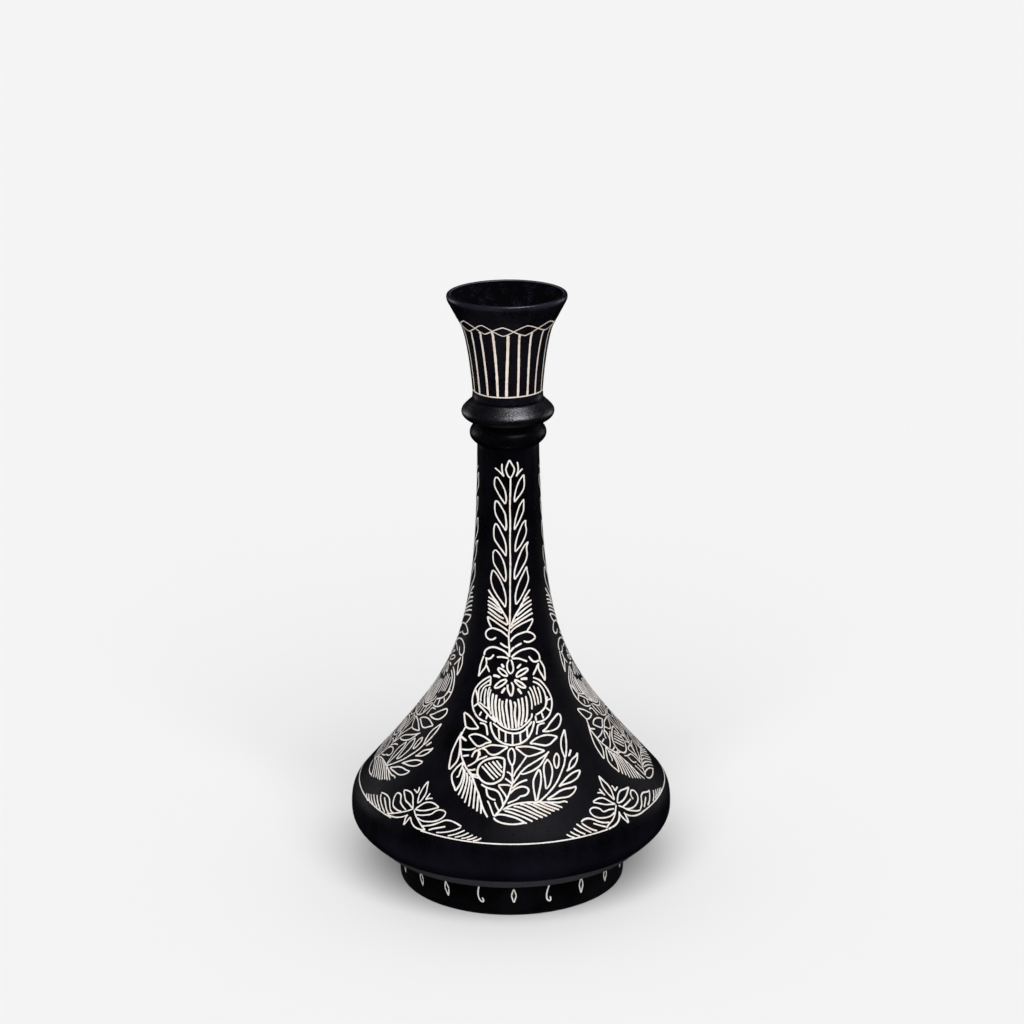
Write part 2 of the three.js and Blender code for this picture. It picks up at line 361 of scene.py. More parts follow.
@dataclass
class Drawing:
    """Strokes laid on a skin round one middle line.

    Attributes:
        name: The object's name.
        skin: The skin they are cut into.
        strokes: The strokes.
        middle: The middle line's angle from -Y in degrees, at the heights in `KNOTS`.
        raised: How far the pattern is moved up, at the same heights.
        narrow: How much narrower than the pattern it is.
        boldness: How much wider than usual its strokes are.
        sway: How far a second hand strays from the pattern.
        seed: What sets that straying.
        crown: How far the paste stands over the skin at a line's middle.
        KNOTS: The heights s that `middle` and `raised` are given at.
        ACROSS: Where the corners of a line's section are, in half widths from its middle.
        LIFT: How high they are, in crowns.
    """

    name: str
    skin: Skin
    strokes: list[Stroke]
    middle: tuple[float, ...] = (0.0, 0.0, 0.0)
    raised: tuple[float, ...] = (0.0, 0.0, 0.0)
    narrow: float = 1.0
    boldness: float = 1.0
    sway: float = 0.0
    seed: int = 0
    crown: float = 0.05

    KNOTS = (20.0, 70.0, 165.0)
    ACROSS = np.array([-1.0, -0.86, -0.45, 0.45, 0.86, 1.0, 0.0])
    LIFT = np.array([-0.1, 0.6, 0.95, 0.95, 0.6, -0.1, -7.0])

    def _strayed(self, path: np.ndarray) -> np.ndarray:
        """The path narrowed, raised, and moved by slow waves in u and s, as a free hand strays.

        Args:
            path: Places (u, s), one row each.

        Returns:
            The moved places.
        """
        raised = np.interp(path[:, 1], self.KNOTS, self.raised)
        path = path * (self.narrow, 1) + np.stack([0 * raised, raised], axis=-1)
        p = np.random.default_rng(self.seed).uniform(0, 2 * math.pi, 4)
        u, s = path.T
        du = np.sin(0.11 * s + p[0]) + 0.5 * np.sin(0.29 * s + 0.2 * u + p[1])
        ds = np.sin(0.13 * u + p[2]) + 0.5 * np.sin(0.31 * u - 0.17 * s + p[3])
        return path + self.sway * np.stack([du, ds], axis=-1)

    def _half_width(self, stroke: Stroke, run: np.ndarray, number: int) -> np.ndarray:
        """Half the line's width along its run: steady, a little uneven, and rounded at its ends.

        Args:
            stroke: The stroke.
            run: The distance along it of each point.
            number: The stroke's number, which sets the unevenness.

        Returns:
            Half its width at each point.
        """
        rng = np.random.default_rng(1000 * self.seed + number)
        phase, pace = rng.uniform(0, 2 * math.pi, 3), rng.uniform(0.5, 1.1, 3)
        waves = [np.sin(k * run * w + f) for k, w, f in zip((0.5, 1.3, 2.9), pace, phase)]
        uneven = 1 + 0.045 * sum(waves)
        half = 0.5 * self.boldness * stroke.width * uneven * rng.uniform(0.92, 1.08)
        edge = np.clip(np.minimum(run, run[-1] - run) / (0.5 * stroke.width), 0, 1)
        if stroke.end is StrokeEnd.SEED:
            edge = np.sin(np.pi * np.clip(run / run[-1], 0.02, 0.98)) ** 0.6
        return half * np.sqrt(np.clip(1 - (1 - edge) ** 2, 0.01, 1))

    def _ribbon(self, stroke: Stroke, number: int) -> tuple[np.ndarray, np.ndarray, np.ndarray]:
        """One stroke's paste: a low domed section carried along its path over the skin.

        Args:
            stroke: The stroke.
            number: Its number in the drawing.

        Returns:
            Its corners, its four-cornered faces and the triangles that close its ends.
        """
        path = self._strayed(smooth_path(np.array(stroke.points, float), 0.62))
        size = np.linalg.norm(np.diff(path, axis=0), axis=1)
        run = np.concatenate([[0.0], np.cumsum(size)])
        near = 0.5 * stroke.width * np.array([0.0, 0.06, 0.2, 0.45, 0.75])
        near = near[near < 0.3 * run[-1]]
        inside = run[(run > 0.5 * stroke.width) & (run < run[-1] - 0.5 * stroke.width)]
        where = np.unique(np.concatenate([near, inside, run[-1] - near]))
        u, s = (np.interp(where, run, path[:, k]) for k in (0, 1))
        turn = np.radians(np.interp(s, self.KNOTS, self.middle)) + u / self.skin.radius(s)
        radius = self.skin.radius(s)
        along = np.stack([radius * np.gradient(turn, where), np.gradient(s, where)])
        along /= np.linalg.norm(along, axis=0) + 1e-9
        half = self._half_width(stroke, where, number)
        side = half[:, None] * self.ACROSS
        rise = self.crown * np.minimum(1, half / (0.3 * stroke.width))[:, None] * self.LIFT
        turns = turn[:, None] + side * along[1][:, None] / radius[:, None]
        heights = s[:, None] - side * along[0][:, None]
        points = self.skin.place(turns, heights, rise).reshape(-1, 3)
        ring, rows = len(self.ACROSS), len(where)
        row, col = np.meshgrid(np.arange(rows - 1), np.arange(ring), indexing="ij")
        after = (col + 1) % ring
        corner = [row * ring + col, row * ring + after, (row + 1) * ring + after, (row + 1) * ring + col]
        faces = np.stack(corner, axis=-1).reshape(-1, 4)
        fan = np.arange(1, ring - 1)
        start = np.stack([0 * fan, fan + 1, fan], axis=-1)
        last = (rows - 1) * ring
        finish = np.stack([0 * fan + last, last + fan, last + fan + 1], axis=-1)
        return points, faces, np.vstack([start, finish])

    def build(self) -> bpy.types.Object:
        """All the strokes as one object.

        Returns:
            The object, not yet dressed.
        """
        points, faces, triangles, total = [], [], [], 0
        for number, stroke in enumerate(self.strokes):
            p, f, t = self._ribbon(stroke, number)
            points.append(p)
            faces.append(f + total)
            triangles.append(t + total)
            total += len(p)
        moved = hand_turned(np.vstack(points))
        return make_mesh(self.name, moved, np.vstack(faces), np.vstack(triangles))


# ---- The flowered panel --------------------------------------------------------------------------


@dataclass
class FlowerPanel:
    """A tall spray of leaves over a flower, a woven basket and feathery leaves.

    Attributes:
        seed_width: The width of the short dashes round the flower.
        fine: The width of the thinner strokes, such as those up the neck.
        heavy: The width of the heavier strokes.
    """

    seed_width: float = 1.3
    fine: float = 0.8
    heavy: float = 1.08

    def bud(self) -> list[Stroke]:
        """The bud at the top, its whiskers and the long stem below it.

        Returns:
            The strokes.
        """
        strokes = leaves(
            ((1, 192), ((-0.3, 193.5), (-1.2, 196.5), (-0.9, 197.7)), (0.5, 201.2), ((2.3, 194.2),
             (2.9, 196.6), (1.9, 198.8))),
            width=self.fine,
        )
        strokes += lines(
            ((-2.2, 192.9), (-4.2, 195.1), (-6.7, 196.9)),
            ((-2.2, 192.9), (-3, 195.5), (-3.1, 199.3)),
            ((3.7, 192.8), (5.3, 194.8), (7.2, 196.4)),
            ((3.7, 192.8), (4.8, 195.8), (4.4, 200.1)),
            ((1, 192), (0.9, 186), (0.6, 178), (0.7, 170), (0.5, 160), (0.6, 150), (0.4, 140), (0.3, 130),
             (0.2, 124), (0, 118), (-0.5, 113.4), (-0.3, 108), (-0.2, 103)),
            width=self.fine,
        )
        return strokes

    def stem_leaves(self) -> list[Stroke]:
        """The five pairs of leaves up the stem."""
        return leaves(
            ((-1.7, 179.1), ((-2.9, 180.8), (-5.2, 184.4), (-6.9, 187.7), (-7, 190), (-6.6, 191.7)),
             (-5.7, 192.4), ((-1.2, 181), (-1.3, 183.5), (-1.9, 186.3), (-3.3, 189.2), (-4.9, 191.7))),
            ((-1.5, 165.7), ((-3.2, 168.4), (-5.5, 171.7), (-6.7, 174.3), (-7, 177), (-6.7, 179.6)),
             (-6.3, 180.5), ((-1.2, 168), (-1.4, 171.5), (-1.9, 174.4), (-3.5, 177.4), (-5.2, 179.9))),
            ((-1.5, 152.9), ((-3, 155.2), (-5.5, 158.5), (-7.2, 161), (-7.6, 163.9), (-7.2, 167.8)),
             (-6.4, 169), ((-1.4, 155), (-1.5, 158), (-2.3, 161.5), (-3.7, 164.6), (-5.4, 168))),
            ((-2, 140.1), ((-3.5, 142.3), (-5.8, 146), (-7.7, 149.1), (-8.1, 152), (-7.9, 154.5)),
             (-6.8, 155.8), ((-1.6, 142), (-1.7, 145), (-2.4, 149), (-3.8, 152.4), (-5.4, 154.7))),
            ((-2.1, 127.5), ((-3.8, 130), (-6.4, 133.5), (-8.5, 137.2), (-9.3, 140.5), (-8.9, 143.8)),
             (-8.3, 145.4), ((-1.7, 130), (-1.9, 133.4), (-3, 137.5), (-4.5, 141), (-7, 144.6))),
            ((2.8, 180), ((3, 183.2), (3.9, 187), (5.3, 190.4), (6.5, 192)), (7.8, 193.3), ((4.3, 181.8),
             (6.2, 184), (7.7, 186.5), (8, 189.3), (7.9, 191))),
            ((2.7, 166.1), ((3, 169.7), (4, 174), (5.4, 178), (6.5, 179.6)), (7.6, 181), ((4.2, 168.6),
             (6, 172), (7.4, 175.3), (7.6, 178))),
            ((3, 155), ((3.2, 158.7), (4.3, 163), (5.9, 166.9), (7.2, 169.2)), (8.7, 170.2), ((4.2, 156.2),
             (5.9, 158.2), (7.8, 161.3), (8.8, 163.9), (8.9, 165.8), (8.5, 168))),
            ((2.6, 141.2), ((2.6, 144.7), (3.8, 149.4), (5.9, 154.6), (7.8, 157.5)), (10, 159.2),
             ((4.3, 143.4), (6.3, 146.6), (8.3, 149.7), (9.2, 152.6), (9, 156.6))),
            ((3.2, 128.7), ((2.9, 132.6), (3.8, 137), (5.4, 140.9), (7.3, 144.3)), (8.9, 147),
             ((4.8, 130.6), (7.2, 134.5), (9, 138), (9.8, 140.9), (9.2, 144.4))),
            width=self.fine,
        )

    def barbs(self) -> list[Stroke]:
        """The barbs on both sides of the stem, between the lowest leaves and the scrolls."""
        return lines(
            ((-10.8, 135.3), (-7.9, 131.6), (-6.3, 130), (-4.4, 126.9), (-2.6, 124), (-1.2, 121.3),
             (-0.8, 118.8)),
            ((-10.9, 131.7), (-8.5, 130.8), (-6.5, 129.2), (-5.5, 128)),
            ((-11.2, 129.8), (-7.7, 128.3), (-5.3, 126.6), (-4.2, 126)),
            ((-11.2, 127.9), (-8.2, 126.9), (-5, 125.3), (-3.6, 124.3)),
            ((-10.9, 126.2), (-8.1, 124.8), (-5, 122.8), (-2.8, 121.8)),
            ((-11.2, 124.4), (-8.4, 123), (-5.5, 121.2), (-3, 119.8), (-1, 118.7)),
            ((10.6, 135.3), (7.6, 131.6), (6.9, 130), (4.7, 126.2), (3.1, 123.8), (1.6, 120.6),
             (0.8, 118.5)),
            ((10.1, 131.7), (8.3, 130.8), (6.2, 129), (5.3, 127.5)),
            ((11.4, 129.9), (8.3, 128.7), (5.5, 127), (4.4, 125.6)),
            ((11.5, 128), (8.4, 126.6), (5.8, 124.9), (3.4, 123)),
            ((11.5, 125.6), (8.4, 124.2), (5.2, 122.3), (2.6, 120.7), (1.2, 119.6)),
            ((12, 123.4), (9.4, 122.6), (6.2, 121.1), (3.4, 119.5), (1.2, 118), (0.3, 117)),
        )

    def scrolls(self) -> list[Stroke]:
        """The pointed leaves below the barbs, each with a scroll under it."""
        return lines(
            ((-11.3, 122), (-8, 120.5), (-5, 118.7), (-2.5, 117.1), (-0.8, 115.8)),
            ((-11.3, 122), (-10.6, 119.4), (-9.1, 117)),
            ((-0.8, 112.8), (-2.2, 114.1), (-4.1, 115.6), (-6.5, 116.4), (-8.7, 116.7), (-11, 115.6),
             (-12.3, 113.8), (-11.9, 112), (-10.3, 111), (-8.5, 111.2), (-6.8, 112.4)),
            ((0.3, 114.8), (2, 116.8), (5.3, 118.7), (8.7, 119.9), (12, 120.7)),
            ((12, 120.6), (11.5, 118.9), (10, 116.7), (8.5, 115)),
            ((0.3, 110.5), (1.5, 112.2), (3.3, 113.6), (5.7, 114.4), (8.6, 114.8), (10.7, 114),
             (12.4, 112.7), (13.1, 111.3), (12, 110.4), (9.8, 109.7), (8.2, 109.9), (6.9, 110.6)),
            ((-4.7, 109.8), (-2.8, 108.5), (-0.7, 107.5)),
            ((5.9, 109.5), (3.6, 108.5), (1.5, 107.2), (0.2, 105.5)),
        )

    def arches(self) -> list[Stroke]:
        """The two broad arches over the flower, with a hanging leaf and a hook at each end."""
        return lines(
            ((-0.4, 103.2), (-2, 105.3), (-5, 106.9), (-8.1, 107.5), (-10.6, 106.8), (-12.7, 104.9),
             (-13.1, 102.9)),
            ((-13.3, 102.6), (-14.4, 100.1), (-15.4, 97), (-15.9, 94), (-16.3, 92.2)),
            ((-12.3, 102), (-11.8, 100), (-12.1, 98), (-13.3, 96.1), (-15.2, 93.7), (-16.3, 92.2)),
            ((-11.8, 98.3), (-10.9, 96.5), (-10.3, 95.2)),
            ((-12.3, 101.9), (-11, 101.4), (-9.6, 102), (-8.6, 103), (-8, 103.9)),
            ((-6.5, 102.7), (-4.4, 103), (-2, 102.7), (-0.6, 102.3)),
            ((0.7, 102.8), (2.2, 104.2), (4.7, 105.8), (7.5, 106.5), (10.2, 106.5), (12.5, 105.5),
             (14.3, 103.8), (15.3, 101.9), (15.3, 100.1)),
            ((15.3, 100), (16.6, 98.2), (17.8, 95.8), (18.2, 92.8), (18.1, 89.6)),
            ((14.5, 98.7), (14.6, 96), (15.9, 93.4), (17.3, 91.1), (18.1, 89.6)),
            ((14.2, 98), (13.1, 95.9), (12.2, 94.5), (11.5, 93.4)),
            ((9.4, 102.8), (10.5, 101.2), (11.9, 99.9), (13.5, 99.6), (15, 100)),
            ((0.9, 102.3), (4.1, 102.2), (6.4, 101.4), (8.6, 100.3)),
        )

    def flower(self) -> list[Stroke]:
        """The flower of six narrow petals, with short dashes between them.

        Returns:
            The strokes.
        """
        strokes = lines(
            ((-0.4, 101.8), (-1.3, 100), (-1.4, 98), (-0.9, 96.2), (0.4, 94.8)),
            ((0.5, 101.8), (1.2, 100), (1.6, 98), (1.5, 96.3), (0.4, 94.8)),
            ((-1.2, 93.8), (-1.6, 95), (-3, 96.5), (-4.8, 97.4), (-6.1, 97.5)),
            ((-6.1, 97.3), (-5.2, 95.7), (-3.5, 94.2), (-1.2, 93.7)),
            ((2.9, 93.5), (3.7, 95.2), (5.5, 96.4), (7.3, 97), (8.6, 97), (8.8, 96.2), (7.7, 95.2),
             (5.5, 94), (3.6, 93.3), (2.9, 93.5)),
            ((-1.7, 92.1), (-3.6, 91.8), (-5.5, 90.6), (-7.2, 88.9), (-7.8, 87.7)),
            ((-7.8, 87.7), (-6, 88), (-3.9, 89.2), (-2.2, 90.7), (-1.5, 91.9)),
            ((2.1, 92), (4.1, 91.2), (5.9, 90), (7.3, 88.6), (7.8, 87.8)),
            ((7.8, 87.8), (6.2, 87.9), (4.4, 88.9), (3, 90.3), (2.1, 91.8)),
            ((-1.1, 89.7), (-1.3, 88), (-0.8, 86.1), (0.3, 83.9)),
            ((0.5, 90.8), (1.3, 89.3), (1.5, 87.6), (1.2, 85.5), (0.4, 83.9)),
        )
        dashes = (
            ((-4.2, 99.6), (-3, 97.9)),
            ((5.4, 99.4), (3.4, 97.5)),
            ((-8.4, 93.7), (-6.5, 93.6), (-4.9, 93)),
            ((5.2, 92.1), (7, 92.2), (8.6, 92)),
            ((-2.4, 88.1), (-4.3, 85.3)),
            ((3.7, 87.6), (5.6, 84.9)),
        )
        return strokes + [Stroke(dash, self.seed_width, StrokeEnd.SEED) for dash in dashes]

    def basket_fan(self) -> list[Stroke]:
        """The basket's upright canes, which spread towards the top."""
        return lines(
            ((-8.4, 85), (-9, 80.3), (-8.8, 76.3), (-8.4, 74), (-7.3, 72.5)),
            ((-6.7, 84.5), (-7.3, 80), (-7.1, 76.5), (-6.6, 73), (-5.6, 70.3)),
            ((-5.1, 82.7), (-5.5, 79), (-5.1, 75), (-4.9, 72), (-3.8, 69.3)),
            ((-3.7, 81.8), (-4, 79), (-3.3, 74), (-2.9, 71), (-2, 68.5)),
            ((-1.6, 82.7), (-2, 79), (-1.4, 74), (-0.9, 70.5), (-0.6, 68.1)),
            ((-0.1, 82.2), (0.4, 79), (0.5, 75), (0.9, 71), (1, 68.1)),
            ((1.8, 81.3), (2.5, 79.8), (2.1, 75), (2.6, 71), (2.8, 68.1)),
            ((3.8, 82.7), (4.4, 79), (4.5, 75), (4, 71), (3.9, 68.3)),
            ((5.7, 83.1), (6.2, 79), (6.3, 75), (5.8, 71.5), (5.2, 69.2)),
            ((7.6, 83.7), (8.2, 80.2), (8.3, 76), (8, 73), (7.2, 70.8)),
            width=self.heavy,
        )

    def basket_sides(self) -> list[Stroke]:
        """The basket's two round lobes, their canes and their plaited rims.

        Returns:
            The strokes.
        """
        w = self.fine
        strokes = lines(
            ((-9.6, 93.3), (-12.6, 91.5), (-15.6, 89), (-17.9, 86), (-19.2, 82.7), (-19.6, 79.6),
             (-18.9, 76), (-17.3, 73.3), (-15, 71.6), (-13, 71), (-11.6, 70.6)),
        )
        strokes += lines(
            ((-9.9, 91.5), (-12, 89.9), (-14.3, 88), (-15.8, 86), (-16.2, 83), (-16, 80.5)),
            ((-9.8, 89), (-11.8, 88.4), (-13.2, 87.2), (-14.3, 85), (-14.8, 82.5), (-14.8, 80.3)),
            ((-12, 87), (-12.7, 84), (-12.9, 81), (-12.8, 79)),
            ((-10, 88), (-10.9, 86), (-11.2, 83), (-11.1, 79), (-10.8, 77)),
            ((-9.5, 86.9), (-10.4, 83.5), (-10.5, 80), (-10.1, 77)),
            width=w,
        )
        strokes += lines(
            ((-9.6, 93), (-9.7, 90.5), (-10, 88.5)),
            ((-17.6, 85.5), (-16.6, 82), (-16, 79), (-13.5, 76.8), (-10.8, 74.2), (-8.8, 72.4), (-7, 71)),
        )
        strokes += lines(((-15.6, 80), (-13, 78.3), (-10.5, 76.9), (-9.6, 74.6)), width=w)
        strokes += lines(
            ((-18.8, 77.2), (-16.2, 79.3)),
            ((-15.6, 73.3), (-14.4, 75.5)),
            ((-12.2, 72), (-11.3, 74.5)),
            ((-15.3, 69.8), (-13, 69.6), (-12, 68.6), (-11.6, 66.5), (-11.3, 64.2)),
            ((11.5, 92.2), (14.5, 90.7), (17, 88.3), (19.3, 85.1), (21.1, 81.4), (21.6, 78.5), (21.1, 75.5),
             (19.7, 72.7), (17.3, 71), (14.5, 70.3), (12.6, 70.5)),
            ((11.3, 90.3), (13.6, 89.2), (15.8, 87.1), (17.5, 84.1), (18.2, 81), (18.2, 79), (17.8, 77.5)),
        )
        strokes += lines(
            ((8.8, 86), (10.2, 82.5), (10.7, 79), (10.6, 76.8)),
            ((9.5, 87.8), (10.8, 85.8), (12, 82), (12.5, 78.5)),
            ((11.6, 88.2), (12.5, 85.7), (13.7, 82), (14.1, 78.8)),
            ((13.8, 87.3), (14.6, 85.4), (15.4, 82), (15.5, 79.3)),
            width=w,
        )
        strokes += lines(
            ((18.8, 82), (18.5, 79), (17.5, 76.8), (15.5, 75.2), (12.5, 73.9)),
            ((18.6, 80.2), (21.2, 80.3)),
            ((18.2, 76.6), (20.4, 74.6)),
            ((15.6, 74.8), (16.6, 71.6)),
            ((12.4, 73.6), (12.8, 71)),
            ((17.2, 69.3), (14.9, 69.2), (13.6, 68.5), (13.2, 66.5), (12.8, 64.2)),
        )
        return strokes

    def basket_base(self) -> list[Stroke]:
        """The basket's double lower rim, the basin under it and the basin's uprights.

        Returns:
            The strokes.
        """
        strokes = lines(
            ((-9, 74), (-6.8, 71.8), (-4.4, 69.6), (-2, 68.2), (1, 67.6), (4, 67.8), (6.3, 69), (8.5, 70.8),
             (10.4, 73), (10.6, 75)),
            ((-8.5, 70.5), (-6, 68.5), (-4, 67.2), (-2, 66.3), (0, 65.8), (2, 65.6), (4, 65.8), (6, 66.5),
             (8, 68), (9.8, 70), (10.6, 71)),
            ((-9.8, 71), (-9.7, 69), (-8.8, 66), (-6.9, 62.9), (-3.9, 60.9), (-1, 60), (2, 59.9), (5, 60.6),
             (8.1, 62.5), (10.1, 65.5), (11.2, 68.5), (11.7, 71.1)),
        )
        uprights = (
            ((-5.8, 68), (-5.4, 62.6)),
            ((-2.4, 66.3), (-2.4, 61.2)),
            ((1, 65.6), (1, 60.3)),
            ((4.7, 65.9), (4.9, 61)),
            ((8, 68.8), (8.3, 63.4)),
        )
        return strokes + [Stroke(upright) for upright in uprights]

    def shoulder_leaves(self) -> list[Stroke]:
        """The leaves that stand beside and below the basket."""
        return lines(
            ((-24, 73.5), (-21.5, 72.7), (-19, 70.8), (-17, 68.5), (-15.8, 67.3)),
            ((-15.8, 67.3), (-18, 66.6), (-21, 66.3), (-23, 66.9)),
            ((-24.1, 73.3), (-23.7, 70.2), (-23.1, 67.5), (-22.9, 66.9)),
            ((-23, 66.8), (-24.3, 64.4), (-25.5, 62), (-26.2, 61)),
            ((15.9, 65.4), (18.3, 66.9), (20, 68.8), (22.4, 70.8), (24.5, 72.2), (25.4, 72.3)),
            ((25.4, 72.3), (26.4, 70.5), (26.2, 68.3), (24.6, 66), (22, 65.1), (19, 65), (15.9, 65.4)),
            ((-21.2, 62.6), (-18.1, 64), (-15, 63.9), (-12.2, 62.9), (-9.4, 60.9)),
            ((-9.4, 60.9), (-12, 60.3), (-14, 59), (-16.3, 58.3), (-18.1, 59.4), (-20, 61.3), (-21.2, 62.6)),
            ((-14.6, 57.3), (-12.1, 58.5), (-9.6, 59.5), (-5.9, 59.5), (-3, 59.2), (-1.3, 58.8)),
            ((-1.3, 58.8), (-3.5, 57.3), (-6, 55.5), (-8.5, 54.7), (-10.7, 55.3), (-12.3, 57), (-14, 57.5)),
            ((2.4, 58.7), (5, 58.9), (8, 58.8), (11, 58.1), (14, 57), (16.9, 55.8)),
            ((16.9, 55.8), (14, 54.9), (11, 54.2), (8.5, 53.9), (6.8, 54.7), (4.7, 56.5), (2.4, 58.5)),
            ((9.4, 60.2), (11.5, 61.8), (14, 62.9), (17.2, 63.4), (20.2, 62.9), (23.9, 61.5)),
            ((23.9, 61.5), (21.8, 60.1), (19.8, 58.7), (17.5, 58.3), (14.6, 59), (11.5, 59.9), (9.4, 60.2)),
        )

    def middle_stem(self) -> list[Stroke]:
        """The lower bud, the stem that bends under it and the stem's twigs."""
        return lines(
            ((0.5, 58.4), (-0.9, 57), (-1.3, 54.9), (-0.9, 52.7), (-0.1, 50.6), (0.4, 49.7)),
            ((0.5, 58.4), (1.6, 57), (2, 54.9), (1.9, 52.7), (1.5, 50.7), (0.9, 49.7)),
            ((0.6, 50.5), (0.8, 47.5), (0.6, 44.5), (0.9, 42), (0.5, 40), (-0.1, 38), (-0.9, 35.4),
             (-2.2, 32.5), (-3.5, 30.2), (-4.9, 27.7), (-6.5, 25.9), (-8.2, 24)),
            ((-2, 46.5), (-0.5, 45.7), (0.4, 44.3)),
            ((-2.8, 43.2), (-1.2, 42), (0, 41), (0.5, 40.2)),
            ((7.8, 54), (6, 51.5), (4, 48.7), (2.2, 46.2), (1.3, 44)),
            ((8, 42.2), (5.5, 41.5), (3.3, 40.4), (1.6, 39), (0.6, 38)),
            ((-0.5, 35.5), (1.1, 37.2), (2.7, 38.2), (5.3, 38.9), (7.5, 38.4), (8.6, 37), (8, 35.3),
             (6.5, 34.4), (4.2, 34.1)),
            ((4.3, 34), (3.2, 32.9), (1.5, 32), (-0.5, 31.2), (-1.7, 30.5)),
            ((-6.1, 39.7), (-4, 39.9), (-2, 39.9), (-0.2, 39.5)),
            ((-6.1, 39.6), (-4.5, 37.3), (-2.7, 34.7), (-2, 33)),
        )

    def right_leaves(self) -> list[Stroke]:
        """The leaves on the right of the lower stem and the long stem that carries them.

        Returns:
            The strokes.
        """
        strokes = lines(
            ((19.1, 55.1), (17.5, 53.9), (14, 52), (10.5, 50.2), (7.5, 48.5), (5, 46.2), (3.3, 43.8),
             (2, 42), (1, 40.7)),
            ((18.2, 54.3), (16.4, 51.5), (14.3, 48.8), (11.5, 47), (8.5, 45.8), (6, 45.2), (4.8, 45.4)),
            ((13.8, 47.1), (12.2, 44.5), (11.1, 42), (10.9, 39.4), (11.2, 36.5), (11.7, 33.5), (12, 31.2)),
            ((13.8, 47), (14.6, 45), (14.8, 42), (14.5, 39), (13.8, 36), (13.2, 33.5), (12.7, 31.3)),
            ((18.1, 51.6), (17.8, 50.8), (16.7, 49.5), (16.2, 47), (16.4, 44), (16.8, 41), (17, 38.5),
             (17.2, 36.7)),
            ((18, 51.5), (19.6, 49.3), (20.4, 46.9), (20.6, 44.3), (20, 41.4), (19, 38.5), (17.3, 36.8)),
            ((23.1, 53.7), (21.7, 51.5), (21.7, 49), (22.3, 46.9), (22.9, 46.2), (23.7, 47), (24.2, 49),
             (24.3, 51.5), (23.1, 53.7)),
            ((28.1, 64.1), (27.1, 62.3), (26, 60), (25.7, 57), (26.2, 54), (27, 52), (27.6, 50.4)),
            ((28.1, 64.1), (28.4, 62.3), (28.7, 60), (28.8, 57), (28.6, 54), (28.2, 51.5), (27.6, 50.4)),
            ((27.6, 50.4), (27.2, 48), (26.2, 45.6), (24.9, 43.1), (23.4, 40.3), (21.4, 37.6), (18.8, 35),
             (16, 32.6), (13.8, 31), (12, 30.7)),
        )
        strokes += lines(((31.3, 53.7), (30.5, 52), (29.8, 50.7)), width=self.heavy)
        strokes += lines(
            ((28.2, 43.8), (29.3, 44.6), (29.9, 46.5), (30.7, 48), (32.3, 49.3), (34, 50), (35.1, 51.3)),
            ((35.1, 51.3), (35, 50), (34.7, 48.3), (33.8, 46.7), (32.3, 45.3), (30.2, 44.5), (28.2, 43.8)),
            ((23.8, 37), (24.8, 37.9), (26.4, 39.3), (28.7, 41), (31.3, 42.2), (34, 42.7), (36, 42.6)),
            ((36, 42.5), (35.2, 40.7), (33.9, 39.3), (31, 38.2), (28.5, 37.8), (26, 37.6), (23.8, 37)),
            ((17.6, 31.4), (19.5, 32.4), (21.6, 33.4), (23.8, 34.6), (27, 35.3), (30, 35.2), (33.3, 35.4)),
            ((33.2, 35.3), (32.6, 33.7), (31.1, 32.2), (28.5, 31.2), (25, 31.3), (21.5, 31.3), (17.6, 31.4)),
        )
        return strokes

    def barrel(self) -> list[Stroke]:
        """The small hatched pot on the left of the lower stem and the curls under it.

        Returns:
            The strokes.
        """
        w = self.heavy
        strokes = lines(
            ((-3.1, 53), (-6, 53.6), (-9, 53.1), (-12, 52), (-14, 50.6), (-15.6, 48.7), (-16.4, 46.5),
             (-16.3, 44.3), (-15.4, 42.7), (-13.5, 41), (-11, 40.2), (-8.5, 40.4), (-6.5, 41.3),
             (-4.6, 42.7), (-3.6, 44.5), (-3.3, 47), (-3, 50), (-3.1, 53)),
            width=w,
        )
        strokes += lines(
            ((-14.2, 48.7), (-12, 46.4), (-9.8, 44), (-8, 42.3)),
            ((-12.7, 50), (-10.3, 47.4), (-8, 45), (-6.3, 43.3)),
            ((-10.9, 50.8), (-8.5, 48.2), (-6.3, 45.7), (-4.8, 44.4)),
            ((-8.9, 51.5), (-7, 49.3), (-4.9, 47), (-4, 46)),
            ((-6.9, 52), (-5.5, 50), (-4.3, 48.3)),
            ((-14.5, 39.7), (-12.3, 38.4), (-9.9, 37.7), (-7.9, 37.3), (-6.2, 36.3), (-5, 34.3),
             (-4.2, 31.8), (-3.8, 29.8)),
            ((-12, 38), (-11.8, 36), (-11.3, 34.2), (-9.8, 32.9), (-7.5, 32.2)),
            ((-7.9, 31.3), (-7.3, 29.5), (-6.3, 27.6), (-5.8, 26.6)),
            ((-11.5, 31.7), (-10.4, 29.6), (-9.3, 26.5), (-8.4, 24.2)),
        )
        return strokes

